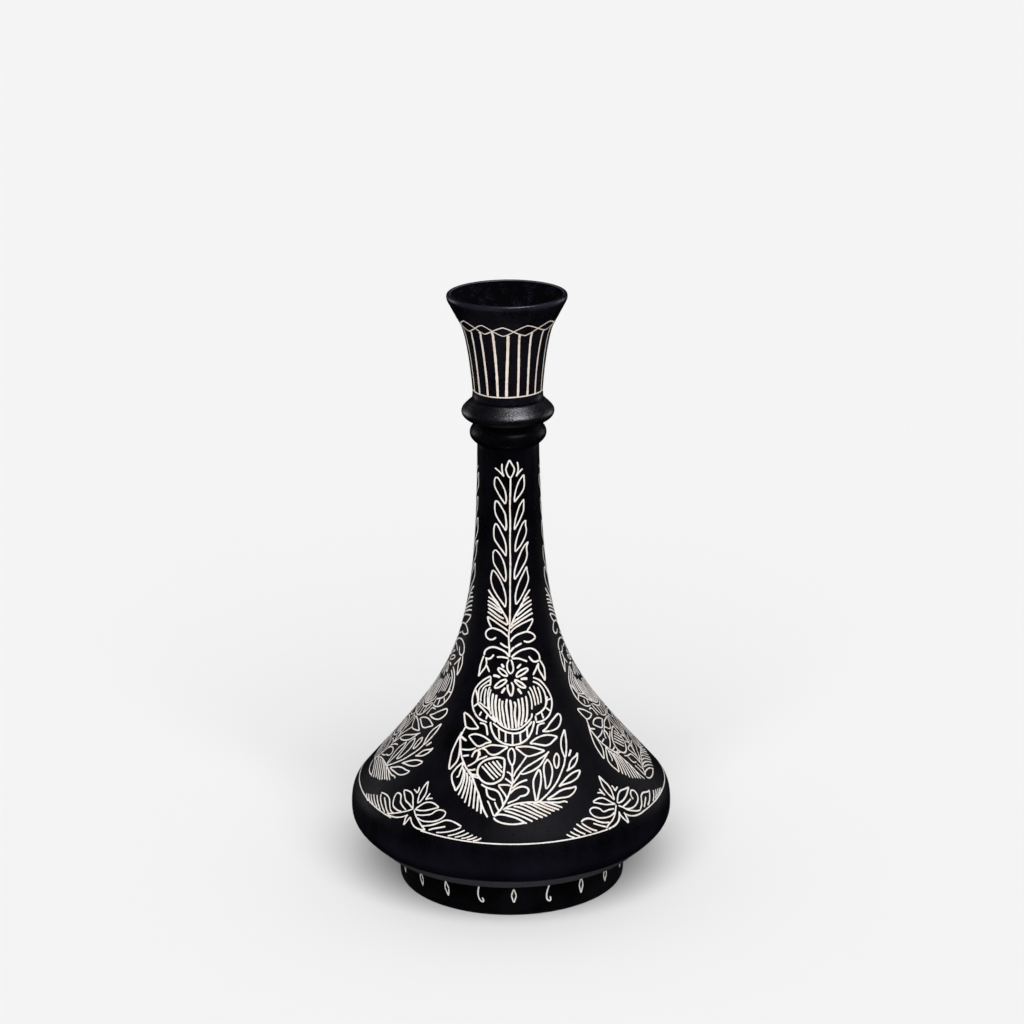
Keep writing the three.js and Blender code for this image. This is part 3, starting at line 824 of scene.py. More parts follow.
    def left_leaves(self) -> list[Stroke]:
        """The long leaf on the far left, the stem beside it and its bud.

        Returns:
            The strokes.
        """
        strokes = lines(
            ((-24.9, 64), (-26.2, 61.8), (-27.3, 59.9), (-29, 56.5), (-30.5, 52.8), (-31.3, 49),
             (-31.7, 45.9), (-31.6, 44.3)),
            ((-26.2, 61), (-25.9, 58), (-26, 55), (-26.5, 51.5), (-27.7, 48.7), (-29.5, 46.5),
             (-31.4, 44.4)),
        )
        strokes += lines(((-25.8, 61.8), (-24.3, 61), (-22.3, 60)), width=self.heavy)
        strokes += lines(
            ((-26, 61.5), (-25.6, 57.1), (-25.3, 54), (-24.7, 51.6), (-23.5, 49), (-22.4, 47),
             (-21.2, 45.5), (-20, 44.5), (-19, 42.5)),
            ((-25, 55.5), (-22.1, 55.7), (-19.5, 56.3), (-17.2, 57.3)),
            ((-24.2, 52.3), (-22.4, 52.8), (-20.9, 53.2)),
            ((-19.4, 52.4), (-18.5, 54.5), (-17.3, 55.9), (-16.2, 56.3), (-14.6, 57.3)),
            ((-15.9, 56.3), (-15.8, 54.5), (-16.2, 52.8), (-17.1, 50.9), (-18.8, 49.4), (-21.6, 47.7)),
            ((-15.4, 56), (-15.2, 53.6)),
            ((-11.5, 53.9), (-13.5, 52.9), (-15.6, 51.9), (-17, 50.9)),
            ((-21, 46), (-19, 46.2), (-17.4, 46.8)),
            ((-21, 44.6), (-19, 44), (-17, 44), (-16.3, 44.4)),
            ((-20, 43.4), (-17.5, 42.9), (-15.4, 42.6)),
        )
        return strokes

    def lower_combs(self) -> list[Stroke]:
        """The two feathery leaves that droop to the ring line, and the closed leaf between them."""
        return lines(
            ((-22.3, 47), (-20.5, 44.5), (-19, 42.5), (-18, 40), (-17, 37.4), (-15.9, 35), (-15, 32),
             (-14.3, 29.5), (-13.3, 27), (-12.1, 24.6), (-11.4, 23.4)),
            ((-24.3, 49), (-26.5, 47), (-28.6, 44.5), (-29.9, 42.4), (-30, 40.3), (-29.3, 38), (-28.3, 36),
             (-28, 34.6)),
            ((-24, 46.8), (-23.6, 44.5), (-24.3, 41.5), (-25.3, 38.5), (-26.5, 36.5), (-27.9, 34.6)),
            ((-27.4, 41.3), (-26.2, 42.3), (-25.6, 44.2), (-24.9, 45.9), (-24.2, 47.5), (-24.3, 49.5)),
            ((-23.2, 46), (-23, 43.4), (-23.4, 40.5), (-24.3, 37.3), (-25.3, 34.8), (-26.3, 32.8)),
            ((-22, 44.5), (-21.6, 42), (-22, 39.5), (-22.7, 36.5), (-23.6, 33.7), (-24.4, 31.4)),
            ((-20.4, 43), (-20.4, 40.5), (-20.9, 37.5), (-21.6, 34.2), (-22.3, 31.5), (-22.9, 29.4)),
            ((-19.4, 41.5), (-19.3, 39), (-19.6, 36), (-20, 33), (-20.4, 30.3), (-20.8, 28)),
            ((-17.5, 38.5), (-17.7, 36), (-18, 33), (-18.3, 30), (-18.5, 27.1)),
            ((-15.9, 34.5), (-16.2, 32), (-16.4, 29), (-16.7, 25.9)),
            ((-14.6, 30), (-14.6, 28), (-14.7, 24.9)),
            ((-8.3, 24), (-6.3, 25), (-4, 25), (-1, 24.4), (1.9, 23.5), (4.4, 22.3), (6, 21.2), (7.6, 20.4)),
            ((-8.5, 23.4), (-7.3, 22.1), (-4.9, 21), (-2, 20.4), (1, 20.2), (4, 20.4), (6.8, 20.9)),
            ((-4, 27.3), (-2, 28.7), (0.7, 29.9), (4, 30.6), (8, 30.9), (12, 30.7), (16, 30.3), (20, 29.8),
             (24, 29.2), (26.6, 29.3), (28.2, 28.5)),
            ((-3.2, 27), (-0.5, 26.3), (2.4, 25.2), (5.5, 23.9), (8.3, 22.4), (10.4, 21.2)),
            ((-2.5, 28), (0, 27.9), (3, 27), (6, 25.7), (9.6, 24), (12.9, 22.1)),
            ((1.2, 29.2), (4, 28.6), (7, 27.3), (10.5, 25.4), (15.4, 22.7)),
            ((4.3, 30.2), (6.6, 29.5), (9.5, 28), (13, 25.8), (17.6, 23.2)),
            ((7.4, 30.6), (9.7, 29.8), (12.4, 28.3), (15.8, 26.2), (19.4, 24.2)),
            ((10.7, 30.4), (13, 29.4), (15.4, 28.2), (18.3, 26.7), (21.4, 25.2)),
            ((14.2, 30.2), (16.3, 29.2), (19, 27.8), (23.7, 25.6)),
            ((17.7, 30), (19.7, 29.2), (22.3, 28), (25.4, 26.4)),
        )

    def strokes(self) -> list[Stroke]:
        """Every stroke of the panel, from the top down.

        Returns:
            The strokes.
        """
        neck = self.bud() + self.stem_leaves() + self.barbs() + self.scrolls()
        flower = self.arches() + self.flower()
        basket = self.basket_fan() + self.basket_sides() + self.basket_base()
        lower = self.shoulder_leaves() + self.middle_stem() + self.right_leaves() + self.barrel()
        return neck + flower + basket + lower + self.left_leaves() + self.lower_combs()


# ---- The sprays between the panels ------------------------------------------------------------------


class Hand(Enum):
    """Which of the two drawings a spray follows."""

    LEFT = "left"
    RIGHT = "right"


@dataclass
class HeartSpray:
    """A heart-shaped spray between two panels, with loops and slanting blades along the ring line.

    Attributes:
        hand: Which of the two drawings it follows.
    """

    hand: Hand

    def strokes(self) -> list[Stroke]:
        """Every stroke of the spray."""
        return self._left() if self.hand is Hand.LEFT else self._right()

    def _left(self) -> list[Stroke]:
        """The drawing on the left of the front panel.

        Returns:
            The strokes.
        """
        strokes = lines(
            ((1.1, 35.9), (0.2, 33.5), (-0.3, 30), (-0.2, 27.3), (0.9, 24.1)),
            ((1.1, 35.9), (2, 33.2), (2.9, 30.2), (2.6, 27.3), (1.8, 25), (0.9, 24.1)),
            ((-2.1, 28.6), (-2, 30.5), (-2.6, 31.8)),
            ((-2.1, 28.6), (-3.5, 29.3), (-5, 29.8)),
            ((4.4, 26.9), (4.8, 28.8), (5.3, 30.6)),
            ((4.4, 26.9), (5.9, 27.9), (7.9, 28.5)),
            ((-11, 27.4), (-9, 27.9), (-6, 27.8), (-3.8, 26.5), (-1.9, 23.5), (-0.5, 21.5)),
            ((-11, 27.2), (-8.8, 25), (-6.7, 23.1), (-4, 22.3), (-1.5, 21.3), (0, 21)),
            ((1.2, 21), (3.1, 23.5), (5, 25.4), (7.5, 26.3), (10, 26.2), (13.4, 24.9)),
            ((1, 20.9), (4, 21), (7.1, 21.8), (9.6, 23), (13.4, 24.9)),
            ((-4, 19), (-7, 20), (-9.5, 21.4), (-10.4, 23), (-11.4, 24.5), (-13, 25), (-14.6, 24.5),
             (-15.1, 22.5), (-14.4, 20), (-13.2, 18.3), (-11, 17.5), (-8.5, 17.2), (-6.3, 17.5)),
            ((3.2, 18.5), (6.1, 19), (9, 19.9), (11.1, 20.9), (12.4, 22.6), (14, 23.7), (16.2, 23.9),
             (18, 23.1), (18.1, 21.3), (17, 19.5), (14.7, 17.9), (11.5, 16.9), (8, 16.5), (4.7, 17.2)),
            ((0, 20.9), (-2, 19.3), (-4.5, 17.9), (-7, 16.6), (-9.7, 15.4), (-12.5, 14.2), (-15, 13.5)),
            ((0.7, 20.5), (2.4, 18.7), (4.5, 17), (7, 15.3), (9.6, 13.7), (11.7, 12.7)),
            ((-1.4, 17.2), (-2, 15.5), (-1.6, 13.7), (-1.3, 11.7)),
            ((0.6, 16.6), (0, 15), (-0.5, 13.3), (-1.2, 11.8)),
            ((-1.5, 17), (-3.5, 15.6), (-6.1, 14.3), (-9, 13.5), (-14, 13.2)),
            ((0.7, 16.5), (2.4, 14.5), (5, 12.8), (8, 12.2), (12, 12.5)),
            ((-26.6, 20.4), (-23.5, 21), (-20, 20.9), (-17.6, 19.9), (-16, 18.1), (-13.5, 15.8),
             (-11, 15.1), (-9.7, 15.4)),
            ((-26, 20), (-24.8, 18), (-22.4, 16.3), (-19, 14.5), (-16.5, 13.4)),
            ((-22.1, 19.5), (-19.6, 17.6), (-16.8, 15.4), (-14, 14)),
            ((9, 14), (11.5, 14.7), (14.6, 16), (17.5, 17.9), (19.6, 19.3), (22.5, 19.6), (25.5, 18.9),
             (29, 17.6)),
            ((29, 17.1), (27.4, 15.9), (25, 14.6), (22.1, 13.5), (18, 12.6)),
            ((21.3, 16.4), (18.4, 15.2), (15.5, 14), (13.5, 12.9)),
        )
        starts = ((-29, 18.2), (-32, 17.3), (-34.6, 16.4), (-37, 15.6), (-39.2, 14.9))
        ends = ((-20.5, 13.4), (-24, 13.5), (-27.4, 13.3), (-30.8, 13.1), (-34.2, 12.9))
        strokes += comb(starts, ends, -0.4)
        starts = ((31.5, 16), (34, 15), (36.5, 14.2), (38.8, 13.5), (41.2, 12.9))
        ends = ((24.5, 12), (28.2, 11.9), (31.6, 11.7), (34.6, 11.5), (37.6, 11.3))
        return strokes + comb(starts, ends, 0.4)

    def _right(self) -> list[Stroke]:
        """The drawing on the right of the front panel.

        Returns:
            The strokes.
        """
        strokes = lines(
            ((-1.8, 36.9), (-2.3, 34.5), (-2.8, 31.5), (-2.3, 28), (-0.9, 24.5), (-0.2, 23.1)),
            ((-1.8, 36.9), (-0.7, 34.2), (0.7, 31), (1, 28), (0.5, 25.5), (-0.1, 23.2)),
            ((-4.3, 26.8), (-4.8, 28.8), (-5.5, 30.9)),
            ((-4.6, 28), (-6, 28.9), (-7.7, 29.3)),
            ((3, 26.9), (3.2, 28.5), (2.7, 30.1)),
            ((3, 26.9), (4.3, 27.5), (6, 28.2)),
            ((-12.6, 25.7), (-10.9, 26.3), (-8, 26.5), (-5.8, 25.8), (-4, 24), (-2.5, 22.3), (-1, 21)),
            ((-12.6, 25.5), (-9.5, 24), (-6.5, 22.5), (-3.9, 21.8), (-1, 21)),
            ((0.5, 21), (2.4, 23.4), (4.3, 25), (6.5, 25.8), (10, 25.5), (13.4, 25.3)),
            ((0.8, 21), (3, 20.8), (6, 21.4), (8.9, 22.6), (11.3, 24), (13.4, 25.3)),
            ((-3, 19.1), (-6, 19.6), (-10, 19.7), (-11, 21.5), (-12.8, 22.7), (-14.8, 23), (-16.5, 22.2),
             (-16.9, 20.6), (-16, 18.8), (-14, 17.4), (-11, 16.6), (-8, 16.4), (-5.4, 16.9), (-4, 17.5)),
            ((2.5, 18.3), (5.1, 18.7), (8, 19.3), (10.3, 19.8)),
            ((12, 19), (11.7, 20.9), (12.6, 22.6), (14, 23.2), (15.6, 22.5), (16.4, 20.7), (16, 18.8),
             (14.5, 17.3), (12, 16.2), (9, 15.7), (6, 16), (3.5, 16.9)),
            ((-0.8, 20.5), (-3, 18), (-5.2, 15.8), (-7.9, 14), (-10.4, 13), (-13, 11.5)),
            ((0.3, 19.8), (2.5, 18), (4.5, 16), (7, 14.6), (10, 13.3), (13, 12.8)),
            ((-1.2, 17), (-1.4, 15), (-0.5, 12.5), (1, 10)),
            ((1.4, 15.6), (1.5, 13), (1.2, 10.1)),
            ((-1.6, 16.3), (-3, 14), (-5.5, 12.2), (-8.6, 11.2), (-12, 10.8)),
            ((1.7, 14.6), (4, 12.9), (7, 11.8), (11, 11.3), (16, 11.5)),
            ((-24.1, 17.4), (-22.8, 18.3), (-20, 18.6), (-17.5, 17.5), (-15.4, 15.8), (-13, 14.5),
             (-9.7, 13.7)),
            ((-24.2, 17), (-22.8, 15), (-21, 13), (-18.5, 11.5)),
            ((-18.5, 15.6), (-16, 13.9), (-12.8, 12.1)),
            ((13, 13.2), (15.5, 14.5), (17.4, 16.5), (19, 18.2), (21.5, 18.8), (24, 18.2), (26, 17.6),
             (28.3, 17.5)),
            ((28.3, 17.5), (26.5, 16), (23.7, 14), (20, 12.5)),
            ((22.1, 16.4), (19.5, 14.8), (16.5, 12.9)),
        )
        starts = ((-27, 17.2), (-29.5, 15.4), (-32, 14), (-34.5, 13))
        ends = ((-21.9, 11.3), (-25.3, 11.2), (-28.3, 10.9), (-31.3, 10.7))
        strokes += comb(starts, ends, -0.3)
        starts = ((32, 16), (34.6, 15.2), (37, 14.5), (39.3, 13.9), (41.4, 13.3))
        ends = ((26, 12.3), (29.4, 12.3), (32.6, 12.3), (35.6, 12.3), (38.6, 12.3))
        return strokes + comb(starts, ends, 0.4)


# ---- Finishes ----------------------------------------------------------------------------------------


class Nodes:
    """A material's node tree, with short ways to add and join nodes."""

    def __init__(self, name: str) -> None:
        """Starts an empty material.

        Args:
            name: The material's name.
        """
        self.material = bpy.data.materials.new(name)
        self.material.use_nodes = True
        self.tree = self.material.node_tree
        self.tree.nodes.clear()
        self.shader = self.tree.nodes.new("ShaderNodeBsdfPrincipled")
        output = self.tree.nodes.new("ShaderNodeOutputMaterial")
        self.tree.links.new(self.shader.outputs[0], output.inputs[0])
        self.coords = self.tree.nodes.new("ShaderNodeTexCoord")

    def put(self, socket: Socket, value: object) -> None:
        """Joins a socket to another, or sets its value.

        Args:
            socket: The socket.
            value: The other socket, or the value.
        """
        if isinstance(value, Socket):
            self.tree.links.new(value, socket)
        else:
            socket.default_value = value

    def stretched(self, scale: Spot) -> Socket:
        """Object coordinates scaled by different amounts along the axes.

        Args:
            scale: The amounts along X, Y and Z.

        Returns:
            The coordinates.
        """
        node = self.tree.nodes.new("ShaderNodeMapping")
        self.put(node.inputs["Vector"], self.coords.outputs["Object"])
        node.inputs["Scale"].default_value = scale
        return node.outputs[0]

    def noise(self, scale: float, detail: float, vector: Socket | None = None) -> Socket:
        """Noise with `scale` spots to the metre.

        Args:
            scale: Spots to the metre.
            detail: The number of finer layers.
            vector: The coordinates that it reads, or the object's own.

        Returns:
            The noise, mostly from 0.3 to 0.7.
        """
        node = self.tree.nodes.new("ShaderNodeTexNoise")
        self.put(node.inputs["Vector"], vector or self.coords.outputs["Object"])
        node.inputs["Scale"].default_value = scale
        node.inputs["Detail"].default_value = detail
        return node.outputs["Fac"]

    def spread(
        self, value: Socket, low: float, high: float, to_low: float = 0.0, to_high: float = 1.0
    ) -> Socket:
        """A value taken from one range to another and kept inside it.

        Args:
            value: The value.
            low: What becomes `to_low`.
            high: What becomes `to_high`.
            to_low: The new range's start.
            to_high: The new range's end.

        Returns:
            The new value.
        """
        node = self.tree.nodes.new("ShaderNodeMapRange")
        for number, item in enumerate((value, low, high, to_low, to_high)):
            self.put(node.inputs[number], item)
        return node.outputs[0]

    def sum(self, kind: str, a: object, b: object) -> Socket:
        """Two values put together by one of the math node's operations.

        Args:
            kind: The operation, such as ADD or MULTIPLY.
            a: The first value.
            b: The second value.

        Returns:
            The result.
        """
        node = self.tree.nodes.new("ShaderNodeMath")
        node.operation = kind
        self.put(node.inputs[0], a)
        self.put(node.inputs[1], b)
        return node.outputs[0]

    def mixed(self, share: object, a: object, b: object) -> Socket:
        """Two colours mixed.

        Args:
            share: The second colour's share, from 0 to 1.
            a: The first colour.
            b: The second colour.

        Returns:
            The mixed colour.
        """
        node = self.tree.nodes.new("ShaderNodeMix")
        node.data_type = "RGBA"
        self.put(node.inputs["Factor"], share)
        self.put(node.inputs[6], a)
        self.put(node.inputs[7], b)
        return node.outputs[2]

    def height(self) -> Socket:
        """How high a place is.

        Returns:
            The height in metres.
        """
        node = self.tree.nodes.new("ShaderNodeSeparateXYZ")
        self.put(node.inputs[0], self.coords.outputs["Object"])
        return node.outputs["Z"]

    def radius(self) -> Socket:
        """How far a place is from the pot's middle line.

        Returns:
            The distance in metres.
        """
        node = self.tree.nodes.new("ShaderNodeVectorMath")
        node.operation = "LENGTH"
        self.put(node.inputs[0], self.stretched((1, 1, 0)))
        return node.outputs["Value"]

    def bumped(self, heights: list[tuple[Socket, float]]) -> None:
        """Gives the shader a bump made of several layers.

        Args:
            heights: Each layer's pattern and its depth in metres.
        """
        last = None
        for value, depth in heights:
            node = self.tree.nodes.new("ShaderNodeBump")
            node.inputs["Strength"].default_value = 1.0
            node.inputs["Distance"].default_value = depth
            self.put(node.inputs["Height"], value)
            if last:
                self.put(node.inputs["Normal"], last)
            last = node.outputs[0]
        self.put(self.shader.inputs["Normal"], last)


def grey(level: float, cool: float) -> Colour:
    """A grey of one level, made a little bluer by `cool`."""
    return (level, level * (1 - 0.25 * cool), level * (1 + cool), 1.0)


@dataclass(frozen=True)
class BurnishedClay:
    """Black-fired clay, rubbed to a soft sheen.

    Attributes:
        name: The material's name.
        specular: How strongly it mirrors.
        grit: How deep its grain is, in metres.
        dark: The clay's darkest level.
        light: The clay's lightest level.
        smooth: The roughness of the best rubbed places.
        dull: The roughness of the worst rubbed places.
        belly_dull: How much rougher the broad belly is than the beads and the cup.
        lip: The level of the lip's top, lighter from wear and from a painted sheen; five times it is the
            painted highlight along the inner edge.
        lip_height: The height above which the lip is lighter from wear and a painted sheen, in metres.
        lip_edge: The radius of the lip's inner edge, along which a highlight line is painted, in metres.
        under: The level of the painted sheen on the lower belly, a lighter bluish grey.
        band_top: The height below which the belly's under-edge was left unrubbed, in metres.
        band: The unrubbed band's level.
    """

    name: str
    specular: float
    grit: float
    dark: float = 0.0008
    light: float = 0.0034
    smooth: float = 0.27
    dull: float = 0.40
    belly_dull: float = 0.16
    lip: float = 0.014
    lip_height: float = 0.2985
    lip_edge: float = 0.0271
    under: float = 0.0055
    band_top: float = 0.0268
    band: float = 0.030

    def make(self) -> bpy.types.Material:
        """Colour, roughness and bump from rubbing streaks, turning rings and grain.

        Returns:
            The material.
        """
        n = Nodes(self.name)
        cloud = n.noise(38, 4)
        streak = n.noise(150, 3, n.stretched((1, 1, 0.16)))
        grain = n.noise(1150, 2)
        pores = n.spread(n.noise(720, 2), 0.63, 0.72)
        rings = n.noise(420, 2, n.stretched((0.04, 0.04, 1)))
        rubbed = n.sum("ADD", n.sum("MULTIPLY", cloud, 0.6), n.sum("MULTIPLY", streak, 0.4))
        colour = n.mixed(n.spread(rubbed, 0.38, 0.62), grey(self.dark, 0.9), grey(self.light, 0.55))
        specks = n.sum("MULTIPLY", n.spread(grain, 0.52, 0.7), 0.45)
        colour = n.mixed(specks, colour, grey(self.light * 1.7, 0.3))
        # Painted sheen: from 44 mm down, and fully below 34 mm, the belly turns a lighter bluish grey in
        # blotches.
        under = n.sum("MULTIPLY", n.spread(n.height(), 0.044, 0.034), n.spread(cloud, 0.3, 0.7, 0.3, 1.0))
        colour = n.mixed(under, colour, grey(self.under, 0.7))
        edge = n.sum("ADD", n.height(), n.sum("MULTIPLY", n.sum("SUBTRACT", cloud, 0.5), 0.0012))
        band = n.spread(edge, self.band_top, self.band_top - 0.0006)
        dry_dark, dry_light = grey(self.band * 0.72, 0.2), grey(self.band * 1.2, 0.2)
        colour = n.mixed(band, colour, n.mixed(n.spread(grain, 0.35, 0.65), dry_dark, dry_light))
        # Wear and painted sheen: above about 298.5 mm the lip's top turns a lighter grey in blotches.
        level = n.sum("ADD", n.height(), n.sum("MULTIPLY", streak, 0.0006))
        worn = n.spread(level, self.lip_height, self.lip_height + 0.0012)
        # Painted highlight: a thin light grey line along the lip's inner edge, five times the lip's level.
        edge_gap = n.sum("ABSOLUTE", n.sum("SUBTRACT", n.radius(), self.lip_edge), 0.0)
        edge_highlight = n.sum("MULTIPLY", worn, n.spread(edge_gap, 0.0005, 0.0001))
        wear_and_sheen_share = n.sum("MULTIPLY", worn, n.spread(cloud, 0.3, 0.7, 0.35, 1.0))
        colour = n.mixed(wear_and_sheen_share, colour, grey(self.lip, 0.5))
        edge_highlight_share = n.sum("MULTIPLY", edge_highlight, n.spread(cloud, 0.3, 0.6, 0.4, 1.0))
        colour = n.mixed(edge_highlight_share, colour, grey(self.lip * 5, 0.15))
        n.put(n.shader.inputs["Base Color"], colour)
        rough = n.spread(rubbed, 0.36, 0.64, self.smooth, self.dull)
        rough = n.sum("ADD", rough, n.sum("MULTIPLY", pores, 0.12))
        rough = n.sum("ADD", rough, n.sum("MULTIPLY", n.sum("SUBTRACT", grain, 0.5), 0.25))
        rough = n.sum("ADD", rough, n.spread(n.height(), 0.19, 0.08, 0.0, self.belly_dull))
        rough = n.sum("MAXIMUM", rough, n.sum("MULTIPLY", band, 0.85))
        n.put(n.shader.inputs["Roughness"], rough)
        n.shader.inputs["Specular IOR Level"].default_value = self.specular
        n.bumped([(rings, 0.00006), (streak, 0.00004), (grain, self.grit), (pores, -0.00006)])
        return n.material


@dataclass(frozen=True)
class UnrubbedClay:
    """The inside, which nobody rubbed: matt, sooty and blotched with a bluish bloom.

    Attributes:
        soot: The level of the sooty places.
        bloom: The level of the bloom.
    """

    soot: float = 0.0004
    bloom: float = 0.009

    def make(self) -> bpy.types.Material:
        """Colour from blotches broken up by grain, a dry surface and a coarse bump.

        Returns:
            The material.
        """
        n = Nodes("unrubbed_clay")
        grain = n.noise(1500, 2)
        blotch = n.sum("MULTIPLY", n.spread(n.noise(230, 3), 0.46, 0.62), n.spread(grain, 0.5, 0.62))
        n.put(n.shader.inputs["Base Color"], n.mixed(blotch, grey(self.soot, 0.6), grey(self.bloom, 0.8)))
        n.put(n.shader.inputs["Roughness"], n.spread(grain, 0.3, 0.7, 0.9, 1.0))
        n.shader.inputs["Specular IOR Level"].default_value = 0.05
        n.bumped([(grain, 0.00012)])
        return n.material


@dataclass(frozen=True)
class BareClay:
    """The foot's clay: the same black, wiped but hardly rubbed, with a worn lower edge.

    Attributes:
        dark: The clay's darkest level.
        light: The clay's lightest level.
        worn: The level of the resting edge.
    """

    dark: float = 0.0007
    light: float = 0.0026
    worn: float = 0.012

    def make(self) -> bpy.types.Material:
        """Colour, roughness and bump from grain, wiping marks and wear near the floor.

        Returns:
            The material.
        """
        n = Nodes("bare_clay")
        cloud = n.noise(60, 4)
        grain = n.noise(1500, 2)
        wiped = n.noise(300, 3, n.stretched((0.15, 0.15, 1)))
        colour = n.mixed(n.spread(cloud, 0.36, 0.64), grey(self.dark, 0.5), grey(self.light, 0.4))
        near_floor = n.spread(n.sum("ADD", n.height(), n.sum("MULTIPLY", cloud, 0.002)), 0.0026, 0.0012)
        colour = n.mixed(n.sum("MULTIPLY", near_floor, 0.5), colour, grey(self.worn, 0.1))
        n.put(n.shader.inputs["Base Color"], colour)
        rough = n.spread(wiped, 0.35, 0.65, 0.46, 0.6)
        n.put(n.shader.inputs["Roughness"], n.sum("ADD", rough, n.sum("MULTIPLY", near_floor, 0.2)))
        n.shader.inputs["Specular IOR Level"].default_value = 0.4
        n.bumped([(wiped, 0.00012), (grain, 0.00006)])
        return n.material


@dataclass(frozen=True)
class PalePaste:
    """Chalky cream paste rubbed into the cut lines and wiped off the clay round them.

    Attributes:
        pale: The colour of clean paste.
        warm: The colour of thin or stained paste, and of the painted shade towards the top.
        dirt: The colour of the specks in it.
        shaded_warm_top: The heights over which the paste turns warmer and darker towards the top, the
            darkening a painted shade, in metres.
    """

    pale: Colour = (0.66, 0.64, 0.62, 1)
    warm: Colour = (0.63, 0.53, 0.455, 1)
    dirt: Colour = (0.10, 0.08, 0.07, 1)
    shaded_warm_top: tuple[float, float] = (0.226, 0.256)

    def make(self) -> bpy.types.Material:
        """Colour from stains and specks, a dry surface and a grainy bump.

        Returns:
            The material.
        """
        n = Nodes("pale_paste")
        cloud = n.noise(110, 4)
        grain = n.noise(1300, 3)
        specks = n.spread(n.noise(950, 2), 0.66, 0.74)
        # Painted shade: besides its cloudy stains, the paste turns warmer and darker from 226 mm up to 256
        # mm.
        stain = n.sum("ADD", n.spread(cloud, 0.48, 0.85), n.spread(n.height(), *self.shaded_warm_top, 0.0, 0.6))
        colour = n.mixed(n.spread(stain, 0.0, 1.0), self.pale, self.warm)
        colour = n.mixed(n.sum("MULTIPLY", n.spread(grain, 0.5, 0.8), 0.35), colour, self.warm)
        colour = n.mixed(n.sum("MULTIPLY", specks, 0.75), colour, self.dirt)
        n.put(n.shader.inputs["Base Color"], colour)
        n.put(n.shader.inputs["Roughness"], n.spread(grain, 0.3, 0.7, 0.55, 0.8))
        n.shader.inputs["Specular IOR Level"].default_value = 0.25
        n.bumped([(grain, 0.00012), (cloud, 0.0002)])
        return n.material


@dataclass(frozen=True)
class PaleFloor:
    """The plain pale surface that the pot stands on.

    Attributes:
        level: How light it is.
    """

    level: float = 0.86

    def make(self) -> bpy.types.Material:
        """An even matt white.

        Returns:
            The material.
        """
        n = Nodes("pale_floor")
        n.shader.inputs["Base Color"].default_value = (self.level, self.level, self.level, 1)
        n.shader.inputs["Roughness"].default_value = 1.0
        n.shader.inputs["Specular IOR Level"].default_value = 0.0
        return n.material


@dataclass(frozen=True)
class Finishes:
    """The materials that the pieces share.

    Attributes:
        polished: The upper bead's clay.
        satin: The mouth cup's clay.
        rubbed: The belly's, neck's and lower bead's clay.
        unrubbed: The clay of the insides.
        bare: The foot's clay.
        paste: What fills the cut lines.
    """

    polished: bpy.types.Material
    satin: bpy.types.Material
    rubbed: bpy.types.Material
    unrubbed: bpy.types.Material
    bare: bpy.types.Material
    paste: bpy.types.Material

    def dress(self, piece: bpy.types.Object, finish: bpy.types.Material, slot: str, *nodes: str) -> None:
        """Gives a piece its material and its body, and hides the model nodes it stands for.

        Args:
            piece: The piece.
            finish: Its material.
            slot: Not used. The kind of finish: burnished_clay, bare_clay or pale_paste.
            nodes: The names of the nodes that it replaces.
        """
        piece.data.materials.append(finish)
        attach(piece, BODY)
        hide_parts(*nodes)
        LOG.info("%s: %d faces, for %s", piece.name, len(piece.data.polygons), ", ".join(nodes))

    def leave_inside(self, piece: bpy.types.Object, limit: float) -> None:
        """Leaves the inside of a turned piece unrubbed.

        A face with centre c and normal n is inside where (cx nx + cy ny) / sqrt(cx^2 + cy^2) < limit.

        Args:
            piece: The piece, already dressed.
            limit: How squarely a face looks at the middle line before it counts as inside.
        """
        faces = piece.data.polygons
        centre, normal = np.empty(len(faces) * 3), np.empty(len(faces) * 3)
        faces.foreach_get("center", centre)
        faces.foreach_get("normal", normal)
        centre, normal = centre.reshape(-1, 3)[:, :2], normal.reshape(-1, 3)[:, :2]
        outward = (centre * normal).sum(axis=1) / np.maximum(np.linalg.norm(centre, axis=1), 1e-9)
        piece.data.materials.append(self.unrubbed)
        faces.foreach_set("material_index", (outward < limit).astype(np.int32))


# ---- The clay sections -----------------------------------------------------------------------------------


